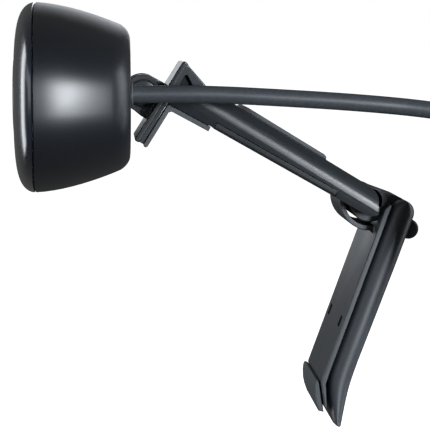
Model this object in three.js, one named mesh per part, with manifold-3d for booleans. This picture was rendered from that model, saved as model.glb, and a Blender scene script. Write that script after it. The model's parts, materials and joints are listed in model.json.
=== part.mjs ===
// A small clip-on USB camera: a wide oval head that tilts on a folding screen clip.
// Millimetres, +Z up. The lens looks along -X, the clip's arm runs back along +X, and
// +Y is the camera's own right hand. The origin is the middle of the seat: the flat of
// the grip pad, under the arm, that rests on the top edge of a screen.
import * as THREE from 'three';
import { LoftGeometry } from 'three/addons/geometries/LoftGeometry.js';
import { mergeVertices } from 'three/addons/utils/BufferGeometryUtils.js';
import Module from 'manifold-3d';

const wasm = await Module();
wasm.setup();

const radians = THREE.MathUtils.degToRad;

// ---------------------------------------------------------------- driving dimensions
// General fits
const gap = 0.25;             // between pieces that are fixed to each other
const play = 0.3;             // between pieces that turn on each other

// Head
const headWidth = 72.9;
const headHeight = 31.9;
const rearDepth = 15.85;      // from the seam to the flat back
const frontDepth = 3.1;       // from the seam to the crown of the front
const rearTaper = { depth: 14.3, height: 3.7, width: 4.4 };   // lost by that depth, each side
const rearCorner = { height: [1.9, 1.6], width: [3.2, 2.8] }; // length and drop of the back's round
const shellWall = 1.6;
const frontWall = 1.5;
const ovalPower = 2.6;        // 2 is an ellipse, higher is squarer
const frontBow = 2000;        // plan radius that sweeps the ends of the front back
const frontSquareness = 7;    // higher is a flatter front with a tighter edge
const faceShare = 0.74;       // the face plate's outline as a share of the head's
const backToTiltAxis = 2.15;
const headDrop = 0.68;        // head centre below the tilt axis
const ringRadius = 7.5;
const ringProud = 0.75;
const windowRadius = 5.6;
const windowThickness = 0.9;
const barrelRadius = 4.0;
const barrelLength = 5.2;
const boardThickness = 1.2;
const boardWidth = 50;
const boardHeight = 17;
const boardSetback = 8.4;     // from the front's crown to the board's front
const postSpacing = 42;
const postRadius = 2.1;
const micOffset = 14;
const ledOffset = -14;

// Tilt hinge
const tiltAxis = { x: -9.0, z: 0.36 };   // in the clip's own axes
const earRadius = 3.2;
const earOuter = 8.0;         // half the width over the two ears
const earThickness = 2.8;
const washerThickness = 0.4;
const lugRadius = 2.7;
const tiltPinRadius = 1.1;
const capRadius = 2.25;
const capThickness = 0.7;
const capSink = 0.5;

// Clip
const armSlope = radians(28.4);
const clipWidth = 24;
const hookLean = radians(3.3);
const hookFront = -6.25;      // front face of the hook at seat level
const hookThickness = 1.55;
const hookTop = 8.4;
const hookBottom = -7.1;
const padThickness = 0.8;
const padLength = 7.0;        // along the arm
const armRoot = { x: 3.6, bottom: 0.8, top: 6.15 };
const armTip = { x: 30.0, bottom: 0.32, top: 4.85 };
const bottomPlateThickness = 1.1;
const armWall = 1.3;
const topStrip = { start: 6.9, end: 23.4, width: clipWidth - 6, height: 0.65 };

// Flap hinge and flap, in the flap's own axes: x out from the screen, z up the flap
const flapAxis = { x: 33.3, z: 2.62 };   // in the clip's own axes
const flapLean = radians(-8.2);          // from square to the arm
const armEndBeyondAxis = 1.15;
const knuckleWidth = clipWidth * 2 / 3;
const hubRadius = 2.3;
const drumRadius = 3.6;       // the knuckle's lower half
const flapPinRadius = 0.75;
const pinCover = 0.7;         // wall that hides each end of the flap's pin
const curlRadius = 5.1;
const curlWall = 0.85;
const curlEnd = radians(187);            // where the curl's free edge is at rest
const plateFace = 2.4;        // flat face of the inner plate, from the axis
const shellFront = 3.45;
const shellBack = 7.6;
const flapShellWall = 1.2;
const toeStart = 31.3;        // down the flap
const tipReach = 37.5;
const toeThickness = 1.1;
const toeWidth = clipWidth - 2;
const barRadius = 1.7;
const barWidth = clipWidth - 4;
const barDrop = 2.2;          // below the hinge axis
const slot = { inset: 3, top: -20, length: 1.7, width: 0.5, depth: 0.5 };

// Cord
const cordDiameter = 3.0;
const cordOffset = -15;       // sideways, clear of the clip
const turnPitch = 3.1;        // between the hank's layers
const levelPitch = 3.2;       // between a turn and the one outside it
const hank = { x: 55.5, z: -13.4, y: -16.2, run: 36, layers: 5, inner: 9.6, levels: 2 };
const tieHeight = 7;
const tieThickness = 0.8;
const reliefLength = 10;
const plugBody = { length: 24, width: 15, thickness: 7.6 };
const plugShell = { length: 12, width: 12, thickness: 4.5, wall: 0.35 };

// Derived places, in the head's own axes, whose origin is the tilt axis
const backX = -backToTiltAxis;
const seamX = backX - rearDepth;
const crownX = seamX - frontDepth;
const boardX = crownX + boardSetback;
const headZ = -headDrop;

// ---------------------------------------------------------------- solids and booleans
function solidOf(geometry) {
  const bare = new THREE.BufferGeometry();
  bare.setAttribute('position', geometry.attributes.position);
  bare.setIndex(geometry.index);
  const merged = mergeVertices(bare, 1e-4);
  return new wasm.Manifold(new wasm.Mesh({
    numProp: 3,
    vertProperties: new Float32Array(merged.attributes.position.array),
    triVerts: new Uint32Array(merged.index.array),
  }));
}

function geometryOf(solid) {
  const mesh = solid.getMesh();
  const geometry = new THREE.BufferGeometry();
  geometry.setAttribute('position', new THREE.BufferAttribute(mesh.vertProperties, 3));
  geometry.setIndex(new THREE.BufferAttribute(mesh.triVerts, 1));
  return geometry;
}

function cut(geometry, ...tools) {
  let solid = solidOf(geometry);
  for (const tool of tools) solid = solid.subtract(solidOf(tool));
  return geometryOf(solid);
}

function join(geometry, ...others) {
  let solid = solidOf(geometry);
  for (const other of others) solid = solid.add(solidOf(other));
  return geometryOf(solid);
}

function within(geometry, limit) {
  return geometryOf(solidOf(geometry).intersect(solidOf(limit)));
}

// ---------------------------------------------------------------- simple shapes
function box(x0, x1, y0, y1, z0, z1) {
  const geometry = new THREE.BoxGeometry(x1 - x0, y1 - y0, z1 - z0);
  return geometry.translate((x0 + x1) / 2, (y0 + y1) / 2, (z0 + z1) / 2);
}

// A rod along Y, centred at (x, z).
function rodY(radius, y0, y1, x = 0, z = 0, sides = 28) {
  const geometry = new THREE.CylinderGeometry(radius, radius, y1 - y0, sides);
  return geometry.translate(x, (y0 + y1) / 2, z);
}

// A rod along X, centred at (y, z).
function rodX(radius, x0, x1, y = 0, z = 0, sides = 28) {
  const geometry = new THREE.CylinderGeometry(radius, radius, x1 - x0, sides);
  return geometry.rotateZ(Math.PI / 2).translate((x0 + x1) / 2, y, z);
}

// A turned piece about the X axis; each point is [x, radius], toward +X along the outside.
function turnedX(points, y = 0, z = 0, sides = 32) {
  const profile = points.map(([x, radius]) => new THREE.Vector2(radius, -x)).reverse();
  return new THREE.LatheGeometry(profile, sides).rotateZ(Math.PI / 2).translate(0, y, z);
}

// A side outline in x and z, as wide as asked and centred on y.
function sideSlab(shape, width, y = 0, curveSegments = 8) {
  const geometry = new THREE.ExtrudeGeometry(shape, {
    depth: width, bevelEnabled: false, curveSegments,
  });
  return geometry.rotateX(Math.PI / 2).translate(0, y + width / 2, 0);
}

function outline(points) {
  return new THREE.Shape(points.map(([x, z]) => new THREE.Vector2(x, z)));
}

// Points along an arc about (x, z), from one angle to another.
function arcPoints(x, z, radius, from, to, steps = 8) {
  const points = [];
  for (let i = 0; i <= steps; i += 1) {
    const angle = from + (to - from) * i / steps;
    points.push([x + radius * Math.cos(angle), z + radius * Math.sin(angle)]);
  }
  return points;
}

// ---------------------------------------------------------------- head outlines
function ovalRing(x, halfWidth, halfHeight, bow = 0) {
  const sides = 48;
  const points = [];
  for (let i = 0; i < sides; i += 1) {
    const angle = 2 * Math.PI * i / sides;
    const across = Math.cos(angle);
    const up = Math.sin(angle);
    const y = halfWidth * Math.sign(across) * Math.abs(across) ** (2 / ovalPower);
    const z = halfHeight * Math.sign(up) * Math.abs(up) ** (2 / ovalPower);
    points.push(new THREE.Vector3(x + bow * y * y, y, headZ + z));
  }
  return points;
}

function ovalPrism(share, x0, x1, inset = 0) {
  const halfWidth = headWidth / 2 * share - inset;
  const halfHeight = headHeight / 2 * share - inset;
  return new LoftGeometry(
    [ovalRing(x0, halfWidth, halfHeight), ovalRing(x1, halfWidth, halfHeight)],
    { capStart: true, capEnd: true },
  );
}

// Half sizes of the rear shell's outside at a depth behind the seam: a taper that
// quickens toward the back, then a rounded corner into the flat back.
function rearHalfSizes(depth, wall) {
  const corner = ([length, drop]) => {
    const past = Math.max(0, depth - rearDepth + length) / length;
    return drop * (1 - Math.sqrt(Math.max(0, 1 - past * past)));
  };
  const share = depth / rearTaper.depth;
  const height = headHeight / 2 - rearTaper.height * share ** 1.6;
  const width = headWidth / 2 - rearTaper.width * share ** 1.6;
  return {
    halfHeight: height - corner(rearCorner.height) - wall,
    halfWidth: width - corner(rearCorner.width) - wall,
  };
}

function rearSolid(wall, lead) {
  const depths = [0, 4, 7.5, 10.5, 12.6, 14, 14.9, 15.5, rearDepth];
  const rings = depths.map((depth) => {
    const size = rearHalfSizes(depth, wall);
    return ovalRing(seamX + depth - wall, size.halfWidth, size.halfHeight);
  });
  const mouth = rearHalfSizes(0, wall);
  if (lead > 0) rings.unshift(ovalRing(seamX - wall - lead, mouth.halfWidth, mouth.halfHeight));
  return new LoftGeometry(rings, { capStart: true, capEnd: true });
}

// The domed front: ovals that shrink toward the crown, with their ends swept back.
function frontSolid(wall, lead) {
  const shares = [0.3, 0.55, 0.76, 0.88, 0.955, 0.99, 1];
  const halfWidth = headWidth / 2 - wall;
  const halfHeight = headHeight / 2 - wall;
  const rings = shares.map((share) => {
    const rise = (frontDepth - wall) * Math.sqrt(1 - share ** frontSquareness);
    const bow = rise / (frontDepth * 2 * frontBow);
    return ovalRing(seamX - rise, halfWidth * share, halfHeight * share, bow);
  });
  if (lead > 0) rings.push(ovalRing(seamX + lead, halfWidth, halfHeight));
  return new LoftGeometry(rings, { capStart: true, capEnd: true });
}

// ---------------------------------------------------------------- materials
const glossBlack = new THREE.MeshStandardMaterial({ color: 0x14161b, roughness: 0.12, metalness: 0 });
const satinBlack = new THREE.MeshStandardMaterial({ color: 0x1d1f22, roughness: 0.4, metalness: 0 });
const plasticGrey = new THREE.MeshStandardMaterial({ color: 0x2a2d30, roughness: 0.45, metalness: 0 });
const rubberBlack = new THREE.MeshStandardMaterial({ color: 0x26292b, roughness: 0.8, metalness: 0 });
const clearGlass = new THREE.MeshStandardMaterial({ color: 0x2c3440, roughness: 0.03, metalness: 0 });
const steel = new THREE.MeshStandardMaterial({ color: 0xb9bdc2, roughness: 0.3, metalness: 1 });
const boardGreen = new THREE.MeshStandardMaterial({ color: 0x1f5a38, roughness: 0.5, metalness: 0 });
const chipBlack = new THREE.MeshStandardMaterial({ color: 0x161616, roughness: 0.5, metalness: 0 });
const socketWhite = new THREE.MeshStandardMaterial({ color: 0xe6e3d8, roughness: 0.5, metalness: 0 });
const cordBlack = new THREE.MeshStandardMaterial({ color: 0x222527, roughness: 0.55, metalness: 0 });

function piece(name, geometry, material) {
  const mesh = new THREE.Mesh(geometry, material);
  mesh.name = name;
  return mesh;
}

// ---------------------------------------------------------------- head
function bothPosts(radius, x0, x1) {
  return [-1, 1].map((side) => rodX(radius, x0, x1, side * postSpacing / 2, headZ, 20));
}

function frontCover() {
  const skin = cut(frontSolid(0, 0), frontSolid(frontWall, 1));
  return cut(skin, rodX(ringRadius + gap, crownX - 2, seamX, 0, headZ, 36));
}

function frontBezel() {
  return cut(frontCover(), ovalPrism(faceShare, crownX - 2, seamX + 1));
}

function facePlate() {
  const plate = within(frontCover(), ovalPrism(faceShare, crownX - 2, seamX + 1, gap));
  const posts = bothPosts(postRadius, crownX + frontWall - 0.5, boardX - gap);
  const screwHoles = bothPosts(0.8, boardX - 3.2, boardX + 1);
  const micHole = rodX(0.8, crownX - 2, seamX, micOffset, headZ, 16);
  const ledHole = rodX(1.1, crownX - 2, seamX, ledOffset, headZ, 16);
  return cut(join(plate, ...posts), ...screwHoles, micHole, ledHole);
}

function lensRing() {
  const front = crownX - ringProud;
  const windowSeat = front + 0.5 + windowThickness + gap;
  return turnedX([
    [front, windowRadius + 0.3],
    [front, ringRadius - 0.5],
    [front + 0.5, ringRadius],
    [crownX + 2.4, ringRadius],
    [crownX + 2.4, barrelRadius + 0.4],
    [windowSeat, barrelRadius + 0.4],
    [windowSeat, windowRadius + gap],
    [front + 0.5, windowRadius + gap],
    [front, windowRadius + 0.3],
  ], 0, headZ, 40);
}

function lensWindow() {
  const front = crownX - ringProud + 0.5;
  return rodX(windowRadius, front, front + windowThickness, 0, headZ, 36);
}

const barrelFront = crownX - ringProud + 0.5 + windowThickness + 2 * gap;
const barrelBack = barrelFront + barrelLength;
const lensRadius = 2.6;
const holderDepth = 3.6;
const holderHalf = 5.4;

function lensBarrel() {
  const seat = barrelFront + 1.5;
  return turnedX([
    [barrelFront, lensRadius + 0.9],
    [barrelFront, barrelRadius],
    [barrelBack, barrelRadius],
    [barrelBack, 2.0],
    [seat, 2.0],
    [seat, lensRadius + 0.15],
    [barrelFront + 0.7, lensRadius + 0.15],
    [barrelFront, lensRadius + 0.9],
  ], 0, headZ, 36);
}

function frontLens() {
  const back = barrelFront + 1.5 - gap / 2;
  const dome = [];
  for (let i = 0; i <= 5; i += 1) {
    const radius = lensRadius * i / 5;
    dome.push([back - 1.0 + 0.55 * (radius / lensRadius) ** 2, radius]);
  }
  return turnedX([...dome, [back, lensRadius], [back, 0]], 0, headZ, 28);
}

function lensHolder() {
  const back = boardX - gap;
  const front = back - holderDepth;
  const block = box(front, back, -holderHalf, holderHalf, headZ - holderHalf, headZ + holderHalf);
  const bore = rodX(barrelRadius + 0.2, front - 1, back - 1.2, 0, headZ, 36);
  const pocket = box(back - 2, back + 1, -3.6, 3.6, headZ - 3.6, headZ + 3.6);
  return cut(block, bore, pocket);
}

function mainBoard() {
  const plate = box(
    boardX, boardX + boardThickness,
    -boardWidth / 2, boardWidth / 2,
    headZ - boardHeight / 2, headZ + boardHeight / 2,
  );
  return cut(plate, ...bothPosts(1.0, boardX - 1, boardX + boardThickness + 1));
}

function onBoardFront(depth, halfY, halfZ, y) {
  const back = boardX - gap;
  return box(back - depth, back, y - halfY, y + halfY, headZ - halfZ, headZ + halfZ);
}

function onBoardBack(depth, halfY, halfZ, y, z = 0) {
  const front = boardX + boardThickness + gap;
  return box(front, front + depth, y - halfY, y + halfY, headZ + z - halfZ, headZ + z + halfZ);
}

const microphoneFront = crownX + frontWall + 1.6;

function microphone() {
  return rodX(1.9, microphoneFront, microphoneFront + 1.4, micOffset, headZ, 24);
}

function micBoot() {
  const x0 = crownX + frontWall + 0.8;
  const x1 = microphoneFront + 2.4;
  return cut(
    rodX(2.8, x0, x1, micOffset, headZ, 28),
    rodX(1.9 + 0.15, microphoneFront - gap, x1 + 1, micOffset, headZ, 28),
    rodX(0.9, x0 - 1, x1, micOffset, headZ, 16),
  );
}

function lightPipe() {
  return rodX(0.85, crownX + 0.35, boardX - 1.6, ledOffset, headZ, 16);
}

function boardScrew(side) {
  const y = side * postSpacing / 2;
  const seat = boardX + boardThickness + gap;
  const shank = rodX(0.65, boardX - 2.6, seat + 0.4, y, headZ, 14);
  const driveSlot = box(seat + 0.6, seat + 2, y - 2, y + 2, headZ - 0.25, headZ + 0.25);
  return join(shank, cut(rodX(1.7, seat, seat + 1.1, y, headZ, 20), driveSlot));
}

// The cup behind the head that the clip's two ears turn in, with the lug between them.
const cupInside = earOuter + play + 0.05;
const cupWall = 0.55;
const cupRadius = earRadius + play;
const cupHalfHeight = cupRadius + 0.25;
const cupLip = 0.12;          // how far the cup's rim stands behind the head
const cupDepth = 3.6;
const flangeReach = 2.8;
const flangeThickness = 1.1;
const wallInside = backX - shellWall;
const bracketScrewY = cupInside + cupWall + flangeReach / 2;

function tiltBracket() {
  const cupFront = backX - cupDepth;
  const cup = box(
    cupFront, backX + cupLip,
    -cupInside - cupWall, cupInside + cupWall,
    -cupHalfHeight, cupHalfHeight,
  );
  const hollow = within(
    rodY(cupRadius, -cupInside, cupInside, 0, 0, 40),
    box(cupFront + 0.1, 9, -20, 20, -9, 9),
  );
  const flangeBack = wallInside - gap;
  const flangeHalf = cupInside + cupWall + flangeReach;
  const flange = box(
    flangeBack - flangeThickness, flangeBack,
    -flangeHalf, flangeHalf, -cupHalfHeight + 0.6, cupHalfHeight - 0.6,
  );
  const lugHalf = earOuter - earThickness - washerThickness - 0.3;
  const lug = rodY(lugRadius, -lugHalf, lugHalf, 0, 0, 32);
  const webHalf = lugRadius - play;
  const web = box(cupFront + 0.2, 0, -lugHalf, lugHalf, -webHalf, webHalf);
  const body = join(cut(join(cup, flange), hollow), web, lug);
  const bore = rodY(tiltPinRadius + 0.2, -lugHalf - 1, lugHalf + 1, 0, 0, 24);
  const screwHoles = [-1, 1].map((side) => rodX(0.8, -9, -2, side * bracketScrewY, 0, 14));
  return cut(body, bore, ...screwHoles);
}

function bracketScrew(side) {
  const seat = wallInside - gap - flangeThickness - gap;
  return join(
    rodX(0.6, seat - 0.3, wallInside + 0.9, side * bracketScrewY, 0, 14),
    rodX(1.15, seat - 0.9, seat, side * bracketScrewY, 0, 18),
  );
}

const grommetHole = cordDiameter / 2 + 0.75;

function rearShell() {
  const shell = cut(rearSolid(0, 0), rearSolid(shellWall, 3));
  const seamTrim = box(seamX - 9, seamX + gap, -60, 60, -60, 60);
  const cupWindow = box(
    backX - 4, backX + 2,
    -cupInside - cupWall - gap, cupInside + cupWall + gap,
    -cupHalfHeight - gap, cupHalfHeight + gap,
  );
  const cordHole = rodX(grommetHole, backX - 4, backX + 2, cordOffset, 0, 28);
  const screwHoles = [-1, 1].map((side) => rodX(
    0.75, wallInside - 1, wallInside + 1.1, side * bracketScrewY, 0, 14,
  ));
  return cut(shell, seamTrim, cupWindow, cordHole, ...screwHoles);
}

function cordGrommet() {
  const hole = grommetHole - gap;
  const lip = 0.45;
  const bore = cordDiameter / 2 + gap;
  return turnedX([
    [wallInside - gap - 0.9, bore],
    [wallInside - gap - 0.9, hole + 0.8],
    [wallInside - gap, hole + 0.8],
    [wallInside - gap, hole],
    [backX + lip, hole],
    [backX + lip, bore],
    [wallInside - gap - 0.9, bore],
  ], cordOffset, 0, 28);
}

function innerLead() {
  const end = boardX + boardThickness + gap + 3.2 + gap;
  return rodX(cordDiameter / 2 - 0.3, end, backX - 0.4, cordOffset, 0, 12);
}

function buildHead() {
  const head = new THREE.Group();
  head.add(
    piece('front_bezel', frontBezel(), glossBlack),
    piece('face_plate', facePlate(), glossBlack),
    piece('lens_ring', lensRing(), glossBlack),
    piece('lens_window', lensWindow(), clearGlass),
    piece('lens_barrel', lensBarrel(), chipBlack),
    piece('front_lens', frontLens(), clearGlass),
    piece('lens_holder', lensHolder(), chipBlack),
    piece('image_sensor', onBoardFront(0.7, 2.8, 2.8, 0), chipBlack),
    piece('main_board', mainBoard(), boardGreen),
    piece('controller_chip', onBoardBack(0.9, 3.5, 3.5, 4), chipBlack),
    piece('clock_crystal', onBoardBack(1.2, 1.6, 1.0, 11, 2), steel),
    piece('lead_socket', onBoardBack(3.2, 3.0, 2.4, cordOffset, headDrop), socketWhite),
    piece('inner_lead', innerLead(), cordBlack),
    piece('microphone', microphone(), steel),
    piece('microphone_boot', micBoot(), rubberBlack),
    piece('status_led', onBoardFront(0.8, 0.8, 0.8, ledOffset), socketWhite),
    piece('light_pipe', lightPipe(), clearGlass),
    piece('board_screw_left', boardScrew(-1), steel),
    piece('board_screw_right', boardScrew(1), steel),
    piece('rear_shell', rearShell(), satinBlack),
    piece('tilt_bracket', tiltBracket(), plasticGrey),
    piece('bracket_screw_left', bracketScrew(-1), steel),
    piece('bracket_screw_right', bracketScrew(1), steel),
    piece('cord_grommet', cordGrommet(), rubberBlack),
  );
  return head;
}

// ---------------------------------------------------------------- clip
function hookX(height, depth = 0) {
  return hookFront + height * Math.tan(hookLean) + depth;
}

function armLine(x, edge) {
  const share = (x - armRoot.x) / (armTip.x - armRoot.x);
  return armRoot[edge] + (armTip[edge] - armRoot[edge]) * share;
}

const padBack = padThickness + gap;
const forkRoot = flapAxis.x - curlRadius - play;
const forkHalf = knuckleWidth / 2 + play;
const armEnd = flapAxis.x + armEndBeyondAxis;
const armFootRadius = flapAxis.z - armLine(flapAxis.x, 'bottom');   // lets the flap fold past
const armFootTurn = radians(37);
const plateStart = armRoot.x + 0.5;
const plateEnd = forkRoot - 0.6;

function clipOutline() {
  const shape = new THREE.Shape();
  const cornerX = hookX(padBack, hookThickness);
  const plateTop = (x) => armLine(x, 'bottom') + bottomPlateThickness + gap;
  shape.moveTo(hookX(hookBottom), hookBottom);
  shape.lineTo(hookX(hookBottom, hookThickness), hookBottom);
  shape.lineTo(cornerX, padBack);
  shape.lineTo(plateStart - gap, padBack);
  shape.lineTo(plateStart - gap, plateTop(plateStart));
  shape.lineTo(plateEnd + gap, plateTop(plateEnd));
  shape.lineTo(plateEnd + gap, armLine(plateEnd, 'bottom'));
  shape.absarc(flapAxis.x, flapAxis.z, armFootRadius, -Math.PI / 2, -armFootTurn, false);
  shape.lineTo(armEnd, flapAxis.z);
  shape.quadraticCurveTo(armEnd - 0.5, flapAxis.z + 2.0, armEnd - 3, armLine(armEnd - 3, 'top'));
  shape.lineTo(0, armLine(0, 'top'));
  shape.lineTo(hookX(hookTop, 1.1), hookTop - 0.3);
  shape.quadraticCurveTo(hookX(hookTop, 0.7), hookTop + 0.2, hookX(hookTop - 0.5), hookTop - 0.5);
  shape.closePath();
  return shape;
}

// The neck that stands off the hook and splits into the two ears.
function tiltNeck() {
  const { x, z } = tiltAxis;
  const root = hookX(0) + 0.5;
  const below = earRadius + 0.3;
  const block = sideSlab(outline([
    [x, z + earRadius], [root, z + earRadius],
    [root, z - below], [x + 1.5, z - below],
    [x, z - earRadius],
  ]), 2 * earOuter);
  const neck = join(block, rodY(earRadius, -earOuter, earOuter, x, z, 40));
  const lugRoom = earOuter - earThickness;
  const room = join(
    rodY(lugRadius + play, -lugRoom, lugRoom, x, z, 32),
    box(x - 9, x, -lugRoom, lugRoom, z - 9, z + 9),
  );
  return cut(neck, room);
}

function tiltBores() {
  const { x, z } = tiltAxis;
  return [
    rodY(tiltPinRadius + 0.15, -earOuter - 1, earOuter + 1, x, z, 24),
    rodY(capRadius + 0.12, earOuter - capSink, earOuter + 1, x, z, 32),
    rodY(capRadius + 0.12, -earOuter - 1, -earOuter + capSink, x, z, 32),
  ];
}

function armHollow() {
  const x0 = 1.6;
  const x1 = forkRoot - 1.4;
  return sideSlab(outline([
    [plateStart + 1, -3], [x1, -3], [x1, armLine(x1, 'top') - armWall],
    [x0, armLine(x0, 'top') - armWall], [x0, padBack + armWall], [plateStart + 1, padBack + armWall],
  ]), clipWidth - 2 * armWall);
}

// A rod along the clip's own Z, from z0 to z1, in the middle of the arm.
function rodZ(radius, z0, z1, x, sides = 20) {
  const geometry = new THREE.CylinderGeometry(radius, radius, z1 - z0, sides);
  return geometry.rotateX(Math.PI / 2).translate(x, 0, (z0 + z1) / 2);
}

function screwPost(x) {
  const foot = armLine(x, 'bottom') + bottomPlateThickness + gap;
  return rodZ(1.9, foot, armLine(x, 'top') - armWall + 0.3, x);
}

const plateScrews = { front: 8.5, rear: 23.5 };

function screwBore(x, radius) {
  const bottom = armLine(x, 'bottom');
  return rodZ(radius, bottom - 1, bottom + 3.6, x, 16);
}

function clipFrame() {
  const solid = join(sideSlab(clipOutline(), clipWidth), tiltNeck());
  const hollowed = cut(solid, armHollow());
  const posts = Object.values(plateScrews).map(screwPost);
  const forkSlot = box(forkRoot, armEnd + 9, -forkHalf, forkHalf, -9, 15);
  const pinReach = clipWidth / 2 - pinCover;
  const pinHole = rodY(flapPinRadius + 0.15, -pinReach, pinReach, flapAxis.x, flapAxis.z, 24);
  const threads = Object.values(plateScrews).map((x) => screwBore(x, 0.8));
  return cut(join(hollowed, ...posts), forkSlot, pinHole, ...tiltBores(), ...threads);
}

function bottomPlate() {
  const bottom = (x) => armLine(x, 'bottom');
  const slab = sideSlab(outline([
    [plateStart, bottom(plateStart)], [plateEnd, bottom(plateEnd)],
    [plateEnd, bottom(plateEnd) + bottomPlateThickness],
    [plateStart, bottom(plateStart) + bottomPlateThickness],
  ]), clipWidth);
  const sinks = Object.values(plateScrews).map((x) => rodZ(1.7, bottom(x) - 1, bottom(x) + 0.6, x));
  const holes = Object.values(plateScrews).map((x) => screwBore(x, 1.0));
  return cut(slab, ...sinks, ...holes);
}

function plateScrew(x) {
  const seat = armLine(x, 'bottom') + 0.6 - gap / 2;
  return join(rodZ(1.45, seat - 0.45, seat, x), rodZ(0.65, seat - 0.2, seat + 2.7, x, 14));
}

function topStripSlab() {
  const { start, end, width, height } = topStrip;
  const low = (x) => armLine(x, 'top') + gap / 2;
  return sideSlab(outline([
    [start, low(start)], [end, low(end)],
    [end - height, low(end) + height], [start + height, low(start) + height],
  ]), width);
}

// One rubber piece in the corner: up the hook's back and along the arm's underside.
function gripPad() {
  const hookGap = hookThickness + gap;
  const legEnd = padLength / 2;
  return sideSlab(outline([
    [hookX(hookBottom - 0.2, hookGap), hookBottom - 0.2],
    [hookX(hookBottom - 0.2, hookGap + padThickness), hookBottom - 0.2],
    [hookX(0, hookGap + padThickness), 0],
    [legEnd, 0],
    [legEnd, padThickness],
    [hookX(padThickness, hookGap), padThickness],
  ]), clipWidth - 0.6);
}

function tiltPin() {
  const half = earOuter - capSink - gap;
  return rodY(tiltPinRadius, -half, half, tiltAxis.x, tiltAxis.z, 24);
}

function pinCap(side) {
  const outer = side * (earOuter - capSink + capThickness);
  const inner = side * (earOuter - capSink + 0.05);
  return rodY(capRadius, Math.min(inner, outer), Math.max(inner, outer), tiltAxis.x, tiltAxis.z, 32);
}

function tiltWasher(side) {
  const inner = earOuter - earThickness - washerThickness - 0.15;
  const y0 = Math.min(side * inner, side * (inner + washerThickness));
  const ring = rodY(lugRadius - 0.3, y0, y0 + washerThickness, tiltAxis.x, tiltAxis.z, 28);
  return cut(ring, rodY(tiltPinRadius + 0.15, y0 - 1, y0 + 1, tiltAxis.x, tiltAxis.z, 24));
}

function flapPin() {
  const half = clipWidth / 2 - pinCover - gap;
  return rodY(flapPinRadius, -half, half, flapAxis.x, flapAxis.z, 24);
}

function buildClip() {
  const clip = new THREE.Group();
  clip.add(
    piece('clip_frame', clipFrame(), plasticGrey),
    piece('arm_bottom_plate', bottomPlate(), plasticGrey),
    piece('arm_top_strip', topStripSlab(), rubberBlack),
    piece('grip_pad', gripPad(), rubberBlack),
    piece('tilt_pin', tiltPin(), steel),
    piece('pin_cap_left', pinCap(-1), plasticGrey),
    piece('pin_cap_right', pinCap(1), plasticGrey),
    piece('tilt_washer_left', tiltWasher(-1), steel),
    piece('tilt_washer_right', tiltWasher(1), steel),
    piece('flap_pin', flapPin(), steel),
    piece('plate_screw_front', plateScrew(plateScrews.front), steel),
    piece('plate_screw_rear', plateScrew(plateScrews.rear), steel),
  );
  return clip;
}

// ---------------------------------------------------------------- flap
const shellMiddle = (shellFront + shellBack) / 2;
const shellHalf = (shellBack - shellFront) / 2;
const hubTop = 5.5;           // how far down from the axis the shell's top is solid
const toeSlope = radians(28.5);

// The shell from the side: round at the top, straight, then flared out to a thin tip.
function flapShellOutline() {
  const shape = new THREE.Shape();
  shape.moveTo(shellFront, 0);
  shape.lineTo(shellFront, -toeStart + 1);
  shape.quadraticCurveTo(shellFront + 0.2, -toeStart - 1.6, shellFront + 2.4, -tipReach + 2.0);
  shape.quadraticCurveTo(shellBack - 0.8, -tipReach + 0.3, shellBack + 0.2, -tipReach);
  shape.lineTo(shellBack + 0.85, -tipReach);
  shape.quadraticCurveTo(shellBack + 0.5, -tipReach + 3.5, shellBack - 0.25, -toeStart + 1.5);
  shape.lineTo(shellBack, -tipReach / 2);
  shape.lineTo(shellBack, 0);
  shape.absarc(shellMiddle, 0, shellHalf, 0, Math.PI, false);
  return shape;
}

function flapHollow() {
  const back = shellBack - flapShellWall;
  const bottom = -toeStart + 2;
  return sideSlab(outline([
    [shellFront - 1, -hubTop], [back, -hubTop],
    [back - 0.15, bottom], [shellFront - 1, bottom],
  ]), clipWidth - 2 * flapShellWall);
}

function flapShell() {
  const half = knuckleWidth / 2;
  const drum = within(rodY(drumRadius, -half, half, 0, 0, 36), box(-9, shellFront, -20, 20, -9, -0.6));
  const hub = join(
    rodY(hubRadius, -half, half, 0, 0, 36),
    box(0, shellMiddle, -half, half, -hubRadius, hubRadius - 0.05),
    drum,
  );
  const body = cut(sideSlab(flapShellOutline(), clipWidth, 0, 6), flapHollow());
  const grooveHalf = barWidth / 2 + gap;
  const barGroove = rodY(barRadius + gap, -grooveHalf, grooveHalf, shellBack, -barDrop, 32);
  const bore = rodY(flapPinRadius + 0.25, -clipWidth, clipWidth, 0, 0, 24);
  return cut(join(body, hub), barGroove, bore);
}

// The flat inner plate; its middle turns in above and curls round the hinge.
function flapInnerPlate() {
  const face = plateFace;
  const back = shellFront - gap;
  const bend = curlRadius + 0.1;
  const curl = sideSlab(outline([
    [back, -bend - 0.9],
    [back, -bend + curlWall],
    ...arcPoints(0, 0, curlRadius - curlWall, radians(278), curlEnd, 12).slice(1),
    ...arcPoints(0, 0, curlRadius, curlEnd, radians(275), 12),
    [face, -bend - 0.1],
    [face, -bend - 0.9],
  ]), knuckleWidth);
  const slope = Math.tan(toeSlope);
  const low = tipReach - 2.2;
  const lowX = face + (low - toeStart) * slope;
  const plate = sideSlab(outline([
    [face, -bend - 0.3], [back, -bend - 0.3],
    [back, -toeStart + 1.5], [back + 0.05, -toeStart - 0.1],
    [lowX + 0.45, -low], [lowX, -low], [face, -toeStart],
  ]), clipWidth - 0.4);
  const sideWall = (side) => box(
    face, back,
    side > 0 ? forkHalf : -clipWidth / 2 + 0.2,
    side > 0 ? clipWidth / 2 - 0.2 : -forkHalf,
    -bend - 0.5, 0,
  );
  const slots = [-1, 1].map((side) => {
    const y = side * (clipWidth / 2 - slot.inset);
    const half = slot.width / 2;
    return box(face - 1, face + slot.depth, y - half, y + half, slot.top - slot.length, slot.top);
  });
  return cut(join(plate, curl, sideWall(1), sideWall(-1)), ...slots);
}

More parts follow.
